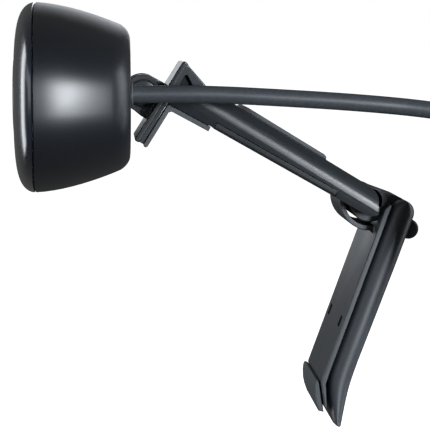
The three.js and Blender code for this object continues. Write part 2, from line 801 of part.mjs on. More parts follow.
function toePad() {
  const slope = Math.tan(toeSlope);
  const start = { x: plateFace - gap, z: -toeStart - 0.15 };
  const reach = 4.7;
  const thick = toeThickness / Math.cos(toeSlope);
  return sideSlab(outline([
    [start.x - 0.65, start.z],
    [start.x, start.z],
    [start.x + reach * slope, start.z - reach],
    [start.x + reach * slope - thick * 0.75, start.z - reach - 0.1],
    [start.x + 1.9 * slope - thick, start.z - 1.9],
  ]), toeWidth);
}

function restBar() {
  return rodY(barRadius, -barWidth / 2, barWidth / 2, shellBack, -barDrop, 32);
}

function buildFlap() {
  const flap = new THREE.Group();
  flap.add(
    piece('flap_shell', flapShell(), plasticGrey),
    piece('flap_inner_plate', flapInnerPlate(), plasticGrey),
    piece('toe_pad', toePad(), rubberBlack),
    piece('rest_bar', restBar(), rubberBlack),
  );
  return flap;
}

// ---------------------------------------------------------------- cord
const hankOuter = hank.inner + (hank.levels - 1) * levelPitch + turnPitch / 2;
const hankNear = hank.y + turnPitch / 2;
const hankFar = hankNear - hank.layers * turnPitch;
const plugX = hank.x + hank.inner;
const plugY = hankFar - gap - tieThickness - gap - plugBody.thickness / 2 - 0.3;
const reliefTop = hank.z - 0.6;   // just under the centre of the hank's top bend

// The cord where it is not wound, as chosen points [x, y, z].
const leadRoute = [
  [-9.2, -15, 4.6], [-4, -15, 4.6], [1, -15, 4.6], [6, -15, 4.45], [11, -15, 4.2],
  [16, -15, 3.92], [21, -15, 3.62], [26, -15, 3.28], [31, -15, 2.88], [36, -15, 2.4],
  [40.5, -15.3, 1.85], [44.5, -15.8, 1.25], [48.2, -16.2, 0.65],
];
const tailRoute = [
  [61.6, -31.9, -6], [63.2, -33.4, -7.9], [64.3, -34.7, -9.9], [65, -35.4, -12],
  [65.1, -35.55, -13.6],
];

function cordTube(route) {
  const curve = new THREE.CatmullRomCurve3(route.map((point) => new THREE.Vector3(...point)));
  const sides = 8;
  const section = outline(arcPoints(0, 0, cordDiameter / 2, 0, 2 * Math.PI, sides).slice(0, sides));
  const steps = Math.ceil(curve.getLength() / (2 * cordDiameter)) + 1;
  return new THREE.ExtrudeGeometry(section, { steps, extrudePath: curve, bevelEnabled: false });
}

function racetrack(radius, run) {
  const shape = new THREE.Shape();
  shape.absarc(hank.x, hank.z, radius, 0, Math.PI, false);
  shape.absarc(hank.x, hank.z - run, radius, Math.PI, 2 * Math.PI, false);
  return shape;
}

function cordHank() {
  const shape = racetrack(hankOuter, hank.run);
  shape.holes.push(racetrack(hank.inner - turnPitch / 2, hank.run));
  return sideSlab(shape, hankNear - hankFar, (hankNear + hankFar) / 2, 10);
}

function cordTie() {
  const middle = hank.z - hank.run / 2;
  const inside = hankOuter + gap;
  const outside = inside + tieThickness;
  const z0 = middle - tieHeight / 2;
  const z1 = middle + tieHeight / 2;
  const far = hankFar - gap;
  const near = hankNear + gap;
  return cut(
    box(hank.x - outside, hank.x + outside, far - tieThickness, near + tieThickness, z0, z1),
    box(hank.x - inside, hank.x + inside, far, near, z0 - 1, z1 + 1),
  );
}

function plugRelief() {
  const foot = reliefTop - reliefLength;
  const profile = [[0, foot], [3.0, foot], [2.9, foot + 5], [2.1, reliefTop], [0, reliefTop]];
  const points = profile.map(([radius, z]) => new THREE.Vector2(radius, z));
  return new THREE.LatheGeometry(points, 24).rotateX(Math.PI / 2).translate(plugX, plugY, 0);
}

const bodyTop = reliefTop - reliefLength - gap;
const bodyBottom = bodyTop - plugBody.length;

function aroundPlug(width, thickness, z0, z1) {
  return box(plugX - width / 2, plugX + width / 2, plugY - thickness / 2, plugY + thickness / 2, z0, z1);
}

function plugHousing() {
  const { width, thickness } = plugBody;
  return cut(
    aroundPlug(width, thickness, bodyBottom, bodyTop),
    aroundPlug(plugShell.width + 2 * gap, plugShell.thickness + 2 * gap, bodyBottom - 1, bodyBottom + 4),
  );
}

function plugCan() {
  const { width, thickness, wall, length } = plugShell;
  const z0 = bodyBottom - length;
  return cut(
    aroundPlug(width, thickness, z0, bodyBottom + 4 - gap),
    aroundPlug(width - 2 * wall, thickness - 2 * wall, z0 - 1, bodyBottom + 5),
  );
}

function plugTongue() {
  const z0 = bodyBottom - plugShell.length;
  const half = plugShell.thickness / 2 - plugShell.wall;
  return box(
    plugX - plugShell.width / 2 + 0.8, plugX + plugShell.width / 2 - 0.8,
    plugY + half - 2.1, plugY + half - gap,
    z0 + 0.5, bodyBottom + 3.5,
  );
}

function buildCord() {
  const cord = new THREE.Group();
  cord.add(
    piece('usb_cord', cordTube(leadRoute), cordBlack),
    piece('cord_hank', cordHank(), cordBlack),
    piece('cord_tie', cordTie(), rubberBlack),
    piece('cord_tail', cordTube(tailRoute), cordBlack),
    piece('plug_relief', plugRelief(), cordBlack),
    piece('plug_body', plugHousing(), cordBlack),
    piece('plug_shell', plugCan(), steel),
    piece('plug_tongue', plugTongue(), socketWhite),
  );
  return cord;
}

// ---------------------------------------------------------------- assembly
const camera = new THREE.Group();
const clip = buildClip();
clip.rotation.y = armSlope;

const head = buildHead();
head.position.set(tiltAxis.x, 0, tiltAxis.z);
head.rotation.y = -armSlope;
clip.add(head);

const flap = buildFlap();
flap.position.set(flapAxis.x, 0, flapAxis.z);
flap.rotation.y = flapLean;
clip.add(flap);

camera.add(clip, buildCord());

export default camera;
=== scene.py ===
"""A small clip-on camera: a wide oval head that tilts on a folding screen clip, with its cord in a hank."""
import json
import math

import bpy
from mathutils import Matrix, Vector


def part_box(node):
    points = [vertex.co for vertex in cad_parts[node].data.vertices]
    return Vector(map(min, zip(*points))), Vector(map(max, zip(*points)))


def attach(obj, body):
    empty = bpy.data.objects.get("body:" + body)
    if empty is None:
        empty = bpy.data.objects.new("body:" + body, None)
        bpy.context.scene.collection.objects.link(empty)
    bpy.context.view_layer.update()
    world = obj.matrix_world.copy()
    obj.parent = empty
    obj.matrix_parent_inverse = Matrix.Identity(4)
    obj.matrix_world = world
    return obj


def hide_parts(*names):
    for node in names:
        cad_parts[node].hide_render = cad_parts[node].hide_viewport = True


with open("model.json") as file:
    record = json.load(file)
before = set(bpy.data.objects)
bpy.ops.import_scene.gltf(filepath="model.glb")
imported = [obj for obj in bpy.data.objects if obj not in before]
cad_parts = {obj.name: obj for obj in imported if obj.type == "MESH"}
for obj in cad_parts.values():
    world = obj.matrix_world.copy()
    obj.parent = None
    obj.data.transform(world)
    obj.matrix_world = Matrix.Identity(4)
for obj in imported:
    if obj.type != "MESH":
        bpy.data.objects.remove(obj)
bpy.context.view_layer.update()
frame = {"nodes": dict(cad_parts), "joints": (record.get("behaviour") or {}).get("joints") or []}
scene = bpy.context.scene
joints = {joint["name"]: Vector(joint["pos_m"]) for joint in frame["joints"]}

MM = 0.001

# ------------------------------------------------------------------ sizes shared by the pieces
HAIRLINE = 0.12          # what shows between two fitted covers
OVAL_SIDES = 96
OVAL_POWER = 2.6

bezel_low, bezel_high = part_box("front_bezel")
shell_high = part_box("rear_shell")[1]
face_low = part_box("face_plate")[0]
HEAD_HALF_WIDTH = (bezel_high.y - bezel_low.y) / 2 / MM
HEAD_HALF_HEIGHT = (bezel_high.z - bezel_low.z) / 2 / MM
HEAD_Z = (bezel_high.z + bezel_low.z) / 2 / MM
BACK_X = shell_high.x / MM
CROWN_X = face_low.x / MM
REAR_DEPTH = 15.85
FRONT_DEPTH = 3.1
SEAM_X = BACK_X - REAR_DEPTH
TILT = joints["head_tilt"] / MM
FLAP = joints["flap_fold"] / MM

ARM_SLOPE = math.radians(28.4)
FLAP_LEAN = math.radians(-8.2)
CLIP_HALF = 12.0
TILT_AXIS = (-9.0, 0.36)         # in the clip's own axes
FLAP_AXIS = (33.3, 2.62)
KNUCKLE_HALF = 8.0
CORD_DIAMETER = 3.0
CORD_SIDE = -15                  # where the cord leaves the head's back
CORD_UP = 4.6
HUB_RADIUS = 2.3
DRUM_RADIUS = 3.6                # the knuckle's lower half
BRACKET_HALF = (8.9, 3.75)       # the tilt bracket's opening in the head's back, half each way
ARM_ROOT_X = 3.6
ARM_RUN = 26.4                   # along the arm, from its root to its tip
COVER_SCREWS = {"front": 8.5, "rear": 23.5}


# ------------------------------------------------------------------ places
def side_place(angle, origin):
    """Turns a side view (x along, y up) into the row frame. Its third axis runs to the camera's left hand."""
    c, s = math.cos(angle), math.sin(angle)
    x, y, z = origin
    return Matrix((
        (c * MM, s * MM, 0, x * MM),
        (0, 0, -MM, y * MM),
        (-s * MM, c * MM, 0, z * MM),
        (0, 0, 0, 1),
    ))


CLIP_PLACE = side_place(ARM_SLOPE, (0, 0, 0))
FLAP_PLACE = side_place(ARM_SLOPE + FLAP_LEAN, FLAP)
# Rings drawn upward, laid so that they run along +X with their own x across the width.
RING_PLACE = Matrix(((0, 0, MM, 0), (MM, 0, 0, 0), (0, MM, 0, HEAD_Z * MM), (0, 0, 0, 1)))
UPRIGHT_PLACE = Matrix.Scale(MM, 4)


# ------------------------------------------------------------------ making and shaping
def deselect():
    bpy.ops.object.select_all(action="DESELECT")


def make_active(piece):
    deselect()
    piece.select_set(True)
    bpy.context.view_layer.objects.active = piece


def arc(x, y, radius, start, end, steps=10):
    """Points along an arc, its angles in degrees."""
    angles = [math.radians(start + (end - start) * i / steps) for i in range(steps + 1)]
    return [(x + radius * math.cos(a), y + radius * math.sin(a)) for a in angles]


def curve_between(start, control, end, steps=8):
    """Points along a quadratic curve, both ends among them."""
    points = []
    for i in range(steps + 1):
        t = i / steps
        points.append(tuple(
            (1 - t) ** 2 * a + 2 * t * (1 - t) * b + t * t * c for a, b, c in zip(start, control, end)
        ))
    return points


def circle(sides):
    return arc(0, 0, 1, 0, 360 * (sides - 1) / sides, sides - 1)


def oval():
    """The head's outline: fuller than an ellipse, one unit to each side."""
    points = []
    for i in range(OVAL_SIDES):
        angle = 2 * math.pi * i / OVAL_SIDES
        across, up = math.cos(angle), math.sin(angle)
        points.append((
            math.copysign(abs(across) ** (2 / OVAL_POWER), across),
            math.copysign(abs(up) ** (2 / OVAL_POWER), up),
        ))
    return points


def slab(name, outline, half_width, middle=0.0):
    """A side outline drawn out across the width."""
    deselect()
    bpy.ops.mesh.primitive_circle_add(vertices=len(outline), fill_type="NGON")
    piece = bpy.context.object
    piece.name = name
    for vertex, (x, y) in zip(piece.data.vertices, outline):
        vertex.co = (x, y, middle - half_width)
    bpy.ops.object.mode_set(mode="EDIT")
    bpy.ops.mesh.select_all(action="SELECT")
    bpy.ops.mesh.extrude_region_move(TRANSFORM_OT_translate={"value": (0, 0, 2 * half_width)})
    bpy.ops.mesh.select_all(action="SELECT")
    bpy.ops.mesh.normals_make_consistent(inside=False)
    bpy.ops.object.mode_set(mode="OBJECT")
    return piece


def ringed(name, unit, stations, closed=False):
    """One outline drawn up through stations of (height, x size, y size).

    Closed joins the last station to the first, and otherwise both ends are filled.
    """
    deselect()
    bpy.ops.mesh.primitive_circle_add(vertices=len(unit), fill_type="NOTHING")
    piece = bpy.context.object
    piece.name = name
    height, wide, deep = stations[0]
    for vertex, (x, y) in zip(piece.data.vertices, unit):
        vertex.co = (x * wide, y * deep, height)
    bpy.ops.object.mode_set(mode="EDIT")
    bpy.ops.mesh.select_all(action="SELECT")
    for before, after in zip(stations, stations[1:]):
        bpy.ops.mesh.extrude_region_move(TRANSFORM_OT_translate={"value": (0, 0, after[0] - before[0])})
        bpy.ops.transform.resize(
            value=(after[1] / before[1], after[2] / before[2], 1), center_override=(0, 0, after[0]),
        )
    bpy.ops.mesh.select_all(action="DESELECT")
    bpy.ops.mesh.select_non_manifold()
    if closed:
        bpy.ops.mesh.bridge_edge_loops()
    else:
        bpy.ops.mesh.fill_holes(sides=0)
    bpy.ops.mesh.select_all(action="SELECT")
    bpy.ops.mesh.normals_make_consistent(inside=False)
    bpy.ops.object.mode_set(mode="OBJECT")
    return piece


def turned(name, profile, sides=64, closed=False):
    """A turned piece from (height, radius) steps."""
    return ringed(name, circle(sides), [(height, radius, radius) for height, radius in profile], closed)


def rod(name, radius, half_length, edge=0.2, sides=48):
    """A short rod with softly rounded ends."""
    rounded = []
    for degrees in (0, 30, 60, 90):
        a = math.radians(degrees)
        rounded.append((radius - edge + edge * math.sin(a), edge * (1 - math.cos(a))))
    lower = [(-half_length + inset, r) for r, inset in rounded]
    upper = [(half_length - inset, r) for r, inset in reversed(rounded)]
    return turned(name, lower + upper, sides)


def choose_edges(piece, test):
    """Selects the edges whose two ends pass a test, and stays in edit mode."""
    make_active(piece)
    bpy.ops.object.mode_set(mode="EDIT")
    bpy.ops.mesh.select_mode(type="EDGE")
    bpy.ops.mesh.select_all(action="DESELECT")
    bpy.ops.object.mode_set(mode="OBJECT")
    vertices = piece.data.vertices
    for edge in piece.data.edges:
        a, b = (vertices[i].co for i in edge.vertices)
        edge.select = bool(test(a, b))
    bpy.ops.object.mode_set(mode="EDIT")


def round_edges(piece, test, width, segments=4):
    choose_edges(piece, test)
    bpy.ops.mesh.bevel(offset=width, segments=segments, profile=0.5, affect="EDGES", clamp_overlap=True)
    bpy.ops.object.mode_set(mode="OBJECT")


def on_rim(a, b):
    """An edge round either side face of a slab, which is one that does not cross the width."""
    return abs(a.z - b.z) < 1e-4


def along_width(a, b):
    return abs(a.x - b.x) < 1e-4 and abs(a.y - b.y) < 1e-4


def combine(piece, other, operation):
    """Cuts or joins another form into a piece, and uses the other up."""
    make_active(piece)
    modifier = piece.modifiers.new("combine", "BOOLEAN")
    modifier.operation = operation
    modifier.solver = "EXACT"
    modifier.object = other
    bpy.ops.object.modifier_apply(modifier=modifier.name)
    bpy.data.objects.remove(other)


def cut(piece, *tools):
    for tool in tools:
        combine(piece, tool, "DIFFERENCE")


def join(piece, *others):
    for other in others:
        combine(piece, other, "UNION")


def block(name, x0, x1, y0, y1, z0, z1):
    """A plain block, for cutting and for further shaping."""
    deselect()
    bpy.ops.mesh.primitive_cube_add(size=1)
    piece = bpy.context.object
    piece.name = name
    piece.data.transform(
        Matrix.Translation(((x0 + x1) / 2, (y0 + y1) / 2, (z0 + z1) / 2))
        @ Matrix.Diagonal((x1 - x0, y1 - y0, z1 - z0, 1))
    )
    return piece


def shifted(piece, x=0.0, y=0.0, z=0.0):
    piece.data.transform(Matrix.Translation((x, y, z)))
    return piece


def settle(piece, place, body, material, stands_for=(), angle=35):
    """Puts a shaped piece in place, smooths it, and gives it its body, its finish and the nodes it shows."""
    make_active(piece)
    piece.data.transform(place)
    bpy.ops.object.shade_smooth_by_angle(angle=math.radians(angle))
    modifier = piece.modifiers.new("normals", "WEIGHTED_NORMAL")
    modifier.keep_sharp = True
    bpy.ops.object.modifier_apply(modifier=modifier.name)
    piece.data.materials.clear()
    piece.data.materials.append(material)
    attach(piece, body)
    if stands_for:
        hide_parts(*stands_for)
    return piece


# ------------------------------------------------------------------ finishes
def new_material(name, colour, roughness, metallic=0.0):
    material = bpy.data.materials.new(name)
    material.use_nodes = True
    shader = material.node_tree.nodes["Principled BSDF"]
    shader.inputs["Base Color"].default_value = (*colour, 1)
    shader.inputs["Roughness"].default_value = roughness
    shader.inputs["Metallic"].default_value = metallic
    return material, material.node_tree, shader


def noise(tree, size, detail=2.0, stretch=(1, 1, 1)):
    """Noise on the piece's own coordinates, its grain about size metres across."""
    coordinates = tree.nodes.new("ShaderNodeTexCoord")
    mapping = tree.nodes.new("ShaderNodeMapping")
    mapping.inputs["Scale"].default_value = stretch
    texture = tree.nodes.new("ShaderNodeTexNoise")
    texture.inputs["Scale"].default_value = 1 / size
    texture.inputs["Detail"].default_value = detail
    tree.links.new(coordinates.outputs["Object"], mapping.inputs["Vector"])
    tree.links.new(mapping.outputs["Vector"], texture.inputs["Vector"])
    return texture.outputs["Fac"]


def spread(tree, value, low, high):
    """Maps noise, which lies mostly from 0.3 to 0.7, to a range."""
    node = tree.nodes.new("ShaderNodeMapRange")
    node.inputs["From Min"].default_value = 0.3
    node.inputs["From Max"].default_value = 0.7
    node.inputs["To Min"].default_value = low
    node.inputs["To Max"].default_value = high
    tree.links.new(value, node.inputs["Value"])
    return node.outputs["Result"]


def bump(tree, shader, height, depth, strength):
    node = tree.nodes.new("ShaderNodeBump")
    node.inputs["Distance"].default_value = depth
    node.inputs["Strength"].default_value = strength
    tree.links.new(height, node.inputs["Height"])
    tree.links.new(node.outputs["Normal"], shader.inputs["Normal"])


def tint(tree, shader, value, dark, light):
    ramp = tree.nodes.new("ShaderNodeMix")
    ramp.data_type = "RGBA"
    ramp.inputs["A"].default_value = (*dark, 1)
    ramp.inputs["B"].default_value = (*light, 1)
    tree.links.new(value, ramp.inputs["Factor"])
    tree.links.new(ramp.outputs["Result"], shader.inputs["Base Color"])


def moulded(name, dark, light, roughness, grain, depth, strength, coat=0.0):
    """A moulded plastic: fine spark texture, and a little handling shine that comes and goes."""
    material, tree, shader = new_material(name, dark, roughness[0])
    fine = noise(tree, grain, 3)
    broad = noise(tree, 0.011, 2)
    tint(tree, shader, spread(tree, fine, 0, 1), dark, light)
    tree.links.new(spread(tree, broad, *roughness), shader.inputs["Roughness"])
    bump(tree, shader, fine, depth, strength)
    shader.inputs["Coat Weight"].default_value = coat
    shader.inputs["Coat Roughness"].default_value = 0.22
    return material


GLOSS = moulded(
    "bezel_gloss", (0.006, 0.008, 0.014), (0.009, 0.011, 0.018), (0.24, 0.29), 0.004, 0.00001, 0.05, 1.0,
)
SATIN = moulded(
    "shell_satin", (0.003, 0.004, 0.0055), (0.009, 0.0105, 0.013), (0.34, 0.39), 0.00016, 0.00002, 0.2,
)
CLIP_PLASTIC = moulded(
    "clip_plastic", (0.008, 0.010, 0.012), (0.015, 0.018, 0.021), (0.28, 0.34), 0.00022, 0.00002, 0.18,
)
FLAP_PLASTIC = moulded(
    "flap_plastic", (0.022, 0.026, 0.031), (0.032, 0.037, 0.043), (0.42, 0.52), 0.00022, 0.00002, 0.2,
)
RUBBER = moulded(
    "pad_rubber", (0.034, 0.038, 0.042), (0.048, 0.053, 0.058), (0.6, 0.78), 0.0003, 0.00003, 0.35,
)
CORD_SHEATH = moulded(
    "cord_sheath", (0.028, 0.033, 0.038), (0.038, 0.044, 0.050), (0.34, 0.42), 0.0005, 0.00002, 0.12,
)


def make_glass():
    material, tree, shader = new_material("coated_glass", (0.012, 0.014, 0.022), 0.03)
    shader.inputs["Transmission Weight"].default_value = 0.75
    shader.inputs["IOR"].default_value = 1.5
    shader.inputs["Coat Weight"].default_value = 1.0
    shader.inputs["Coat Roughness"].default_value = 0.02
    smear = spread(tree, noise(tree, 0.006, 3), 0.02, 0.05)
    tree.links.new(smear, shader.inputs["Roughness"])
    return material


def make_steel():
    material, tree, shader = new_material("bright_steel", (0.62, 0.62, 0.63), 0.25, 1.0)
    brushed = noise(tree, 0.00025, 3, (1, 1, 0.04))
    tree.links.new(spread(tree, brushed, 0.2, 0.38), shader.inputs["Roughness"])
    tint(tree, shader, spread(tree, brushed, 0, 1), (0.52, 0.52, 0.54), (0.70, 0.70, 0.70))
    bump(tree, shader, brushed, 0.00001, 0.15)
    return material


def make_plain(name, colour, roughness, grain=0.0006, metallic=0.0):
    material, tree, shader = new_material(name, colour, roughness, metallic)
    light = tuple(min(1, c * 1.25 + 0.004) for c in colour)
    grit = noise(tree, grain, 3)
    tint(tree, shader, spread(tree, grit, 0, 1), colour, light)
    tree.links.new(spread(tree, grit, roughness * 0.9, roughness * 1.1), shader.inputs["Roughness"])
    bump(tree, shader, grit, 0.00001, 0.12)
    return material


GLASS = make_glass()
STEEL = make_steel()
BOARD = make_plain("board_mask", (0.015, 0.10, 0.045), 0.35)
CHIP = make_plain("chip_moulding", (0.012, 0.012, 0.013), 0.5)
NYLON = make_plain("white_nylon", (0.72, 0.70, 0.62), 0.45)
GOLD = make_plain("contact_gold", (0.80, 0.58, 0.22), 0.25, 0.0004, 1.0)


# ------------------------------------------------------------------ camera
def make_camera():
    bpy.ops.object.camera_add(
        location=(-0.01243, -0.35513, 0.01282),
        rotation=(math.radians(90 - 4.722), 0, math.radians(-2.766)),
    )
    camera = bpy.context.object
    camera.data.sensor_width = 36
    camera.data.lens = 36 * 2070 / 430
    camera.data.clip_start = 0.01
    scene.camera = camera


make_camera()

# ------------------------------------------------------------------ cord
LEAD_ROUTE = [
    (-9.9, -15, 4.6), (-4, -15, 4.6), (1, -15, 4.6), (6, -15, 4.45), (11, -15, 4.2), (16, -15, 3.92),
    (21, -15, 3.62), (26, -15, 3.28), (31, -15, 2.88), (36, -15, 2.4), (40.5, -15.3, 1.85),
    (44.5, -15.8, 1.25), (48.2, -16.2, 0.65), (53, -16.2, -0.08),
]
HANK_X, HANK_Z, HANK_Y = 55.5, -13.4, -16.2
HANK_RUN = 36.0
HANK_INNER = 9.6
LEVEL_PITCH = 3.2
LAYER_PITCH = 3.1
LAYERS = 5
TURNS = 2 * LAYERS
POINTS_PER_TURN = 72
ENTRY_ANGLE = 81.0
PLUG_X, PLUG_Y, RELIEF_TOP = 65.1, -35.55, -14.0
MEAN_ARC = math.pi * (HANK_INNER + LEVEL_PITCH / 2)
LOOP = 2 * (MEAN_ARC + HANK_RUN)


def smooth_step(t):
    t = min(1.0, max(0.0, t))
    return t * t * (3 - 2 * t)


def turn_place(index):
    """Radius and side place of a turn: two levels in each layer, out and in by turns."""
    layer, second = divmod(index, 2)
    outside = second == (layer % 2)
    return HANK_INNER + (LEVEL_PITCH if outside else 0), HANK_Y - layer * LAYER_PITCH


def on_loop(share, radius):
    """A point round the hank, from the left end of its top bend, over the top and down."""
    along = share * LOOP
    if along < MEAN_ARC:
        angle = math.pi * (1 - along / MEAN_ARC)
        return HANK_X + radius * math.cos(angle), HANK_Z + radius * math.sin(angle)
    along -= MEAN_ARC
    if along < HANK_RUN:
        return HANK_X + radius, HANK_Z - along
    along -= HANK_RUN
    if along < MEAN_ARC:
        angle = -math.pi * along / MEAN_ARC
        return HANK_X + radius * math.cos(angle), HANK_Z - HANK_RUN + radius * math.sin(angle)
    return HANK_X - radius, HANK_Z - HANK_RUN + along - MEAN_ARC


def wound(phase):
    """Where the cord is after that many turns. Each turn steps to the next place a little earlier."""
    turn = min(int(phase), TURNS)
    share = phase - turn
    if turn == TURNS:
        x, z = on_loop(share, HANK_INNER)
        drift = smooth_step(share * LOOP / MEAN_ARC)
        return x, turn_place(TURNS - 1)[1] + (PLUG_Y - turn_place(TURNS - 1)[1]) * drift, z
    step_at = 1 - (turn + 0.7) / TURNS
    passed = smooth_step((share - step_at) * TURNS + 0.5) if turn < TURNS - 1 else 0
    radius, y = turn_place(turn)
    next_radius, next_y = turn_place(min(turn + 1, TURNS - 1))
    x, z = on_loop(share, radius + (next_radius - radius) * passed)
    return x, y + (next_y - y) * passed, z


def through(points, spacing):
    """A smooth line through points, at an even spacing."""
    line = []
    for i in range(len(points) - 1):
        a, b = Vector(points[i]), Vector(points[i + 1])
        before = Vector(points[i - 1]) if i else a - (b - a)
        after = Vector(points[i + 2]) if i + 2 < len(points) else b + (b - a)
        steps = max(1, round((b - a).length / spacing))
        for j in range(steps):
            t = j / steps
            line.append(0.5 * (
                2 * a + (b - before) * t + (2 * before - 5 * a + 4 * b - after) * t * t
                + (3 * a - before - 3 * b + after) * t ** 3
            ))
    return line + [Vector(points[-1])]


def cord_line():
    entry = (180 - ENTRY_ANGLE) / 180 * MEAN_ARC / LOOP
    end = TURNS + MEAN_ARC / LOOP
    count = round((end - entry) * POINTS_PER_TURN)
    coil = [wound(entry + (end - entry) * i / count) for i in range(count)]
    return through(LEAD_ROUTE + coil + [(PLUG_X, PLUG_Y, HANK_Z), (PLUG_X, PLUG_Y, RELIEF_TOP - 1)], 2.0)


def make_cord():
    line = cord_line()
    curve = bpy.data.curves.new("cord", "CURVE")
    curve.dimensions = "3D"
    curve.bevel_depth = CORD_DIAMETER / 2 * MM
    curve.bevel_resolution = 3
    curve.use_fill_caps = True
    spline = curve.splines.new("POLY")
    spline.points.add(len(line) - 1)
    for point, place in zip(spline.points, line):
        point.co = (*(place * MM), 1)
    cord = bpy.data.objects.new("cord", curve)
    scene.collection.objects.link(cord)
    curve.materials.append(CORD_SHEATH)
    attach(cord, "head")
    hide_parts("usb_cord", "cord_hank", "cord_tail")
    return cord


# ------------------------------------------------------------------ plug, tie and grommet
def make_relief():
    """The tapered strain relief, with rings moulded round it so that it bends evenly."""
    rings = 6
    profile = [(-10.0, 2.6), (-9.9, 3.0)]
    for i in range(rings):
        top = -9.2 + i * 1.4
        radius = 3.0 - 0.14 * i
        waist = radius - 0.35
        profile += [(top, radius), (top + 0.15, waist), (top + 0.6, waist), (top + 0.75, radius)]
    bore = CORD_DIAMETER / 2 + 0.02
    profile += [(-0.35, 2.1), (0.0, 1.85), (0.0, bore), (-1.2, bore)]
    profile += [(-1.2, 0.3)]
    piece = shifted(turned("strain_relief", profile, 40), PLUG_X, PLUG_Y, RELIEF_TOP)
    return settle(piece, UPRIGHT_PLACE, "head", CORD_SHEATH, ["plug_relief"])


BODY_TOP = RELIEF_TOP - 10.25
BODY_BOTTOM = BODY_TOP - 24


def make_plug_body():
    """The plug's overmould: a soft-edged block, narrower at the shoulders, with grip ribs on its faces."""
    half_width, half_depth = 7.5, 3.8
    piece = block("plug_overmould", -half_width, half_width, -half_depth, half_depth, BODY_BOTTOM, BODY_TOP)
    for vertex in piece.data.vertices:
        if vertex.co.z > BODY_TOP - 1:
            vertex.co.x *= 0.82
            vertex.co.y *= 0.86
    round_edges(piece, lambda a, b: abs(a.z - b.z) > 5, 1.5, 5)
    round_edges(piece, lambda a, b: abs(a.z - b.z) < 1e-4, 0.7, 4)
    cut(piece, block("mouth", -6.1, 6.1, -2.35, 2.35, BODY_BOTTOM - 1, BODY_BOTTOM + 4))
    for side in (-1, 1):
        for i in range(5):
            z = BODY_BOTTOM + 5.5 + i * 1.9
            y = side * half_depth
            groove_low = min(y, y - side * 0.5)
            groove_high = max(y, y - side * 0.5) + 0.2
            cut(piece, block("rib", -4.4, 4.4, groove_low, groove_high, z, z + 0.8))
    shifted(piece, PLUG_X, PLUG_Y)
    return settle(piece, UPRIGHT_PLACE, "head", CORD_SHEATH, ["plug_body"])


def make_plug_can():
    """The plug's folded steel shell, open at its end, with its two latch windows on each broad face."""
    outer = block("plug_can", -6, 6, -2.25, 2.25, BODY_BOTTOM - 12, BODY_BOTTOM + 3.75)
    round_edges(outer, lambda a, b: abs(a.z - b.z) > 5, 0.5, 4)
    inner = block("inside", -5.65, 5.65, -1.9, 1.9, BODY_BOTTOM - 13, BODY_BOTTOM + 3.0)
    round_edges(inner, lambda a, b: abs(a.z - b.z) > 5, 0.25, 3)
    cut(outer, inner)
    for x in (-2.4, 2.4):
        cut(outer, block("window", x - 1.15, x + 1.15, -3, 3, BODY_BOTTOM - 6.6, BODY_BOTTOM - 4.5))
    shifted(outer, PLUG_X, PLUG_Y)
    return settle(outer, UPRIGHT_PLACE, "head", STEEL, ["plug_shell"])


def make_tongue():
    """The insulating tongue and its four contacts."""
    z0 = BODY_BOTTOM - 11.5
    tongue = block("plug_tongue_bar", -5.2, 5.2, -0.1, 1.65, z0, BODY_BOTTOM + 2.9)
    round_edges(tongue, lambda a, b: a.z < z0 + 0.1 and b.z < z0 + 0.1, 0.3, 3)
    shifted(tongue, PLUG_X, PLUG_Y)
    settle(tongue, UPRIGHT_PLACE, "head", NYLON, ["plug_tongue"])
    for i, x in enumerate((-3.5, -1.0, 1.0, 3.5)):
        start = z0 + (0.9 if i in (0, 3) else 1.9)
        contact = block(f"plug_contact_{i + 1}", x - 0.5, x + 0.5, -0.22, -0.05, start, BODY_BOTTOM - 1)
        round_edges(contact, lambda a, b: max(a.y, b.y) < -0.2, 0.05, 2)
        shifted(contact, PLUG_X, PLUG_Y)
        settle(contact, UPRIGHT_PLACE, "head", GOLD)


def make_tie():
    """A flat strap round the hank."""
    low, high = (Vector(corner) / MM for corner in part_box("cord_tie"))
    piece = block("cord_strap", low.x, high.x, low.y, high.y, low.z, high.z)
    round_edges(piece, lambda a, b: abs(a.z - b.z) > 5, 2.2, 6)
    inside = block("inside", low.x + 0.8, high.x - 0.8, low.y + 0.8, high.y - 0.8, low.z - 1, high.z + 1)
    round_edges(inside, lambda a, b: abs(a.z - b.z) > 5, 1.5, 6)
    cut(piece, inside)
    round_edges(piece, lambda a, b: abs(a.z - b.z) < 1e-4, 0.2, 2)
    return settle(piece, UPRIGHT_PLACE, "head", RUBBER, ["cord_tie"])


def make_grommet():
    """The soft ring that the cord leaves the head through."""
    radius = CORD_DIAMETER / 2
    profile = [
        (-2.4, radius + 0.06), (-2.4, 2.0), (0.05, 2.0), (0.05, 2.15), (0.2, 2.3), (0.38, 2.25),
        (0.45, 2.05), (0.45, radius + 0.3), (0.3, radius + 0.06),
    ]
    piece = turned("cord_collar", profile, 48, closed=True)
    piece.data.transform(Matrix.Translation((CORD_SIDE, CORD_UP - HEAD_Z, BACK_X)))
    return settle(piece, RING_PLACE, "head", RUBBER, ["cord_grommet"])


# ------------------------------------------------------------------ head
SEAM_BOW = 0.6           # how far the seam's ends sweep back
FRONT_BOW = 2000.0       # plan radius of the front's sweep
FACE_SHARE = 0.74
FRONT_WALL = 1.5
SHELL_WALL = 1.6


def front_rise(share):
    return FRONT_DEPTH * math.sqrt(1 - share ** 7)


def sweep_ends(piece):
    """Sweeps the front's ends back, the seam and the crown each by its own bow."""
    for vertex in piece.data.vertices:
        rise = min(1.0, max(0.0, (SEAM_X - vertex.co.z) / FRONT_DEPTH))
        crown = vertex.co.x ** 2 / (2 * FRONT_BOW)
        seam = SEAM_BOW * (vertex.co.x / HEAD_HALF_WIDTH) ** 2
        vertex.co.z += crown * rise + seam * (1 - rise)


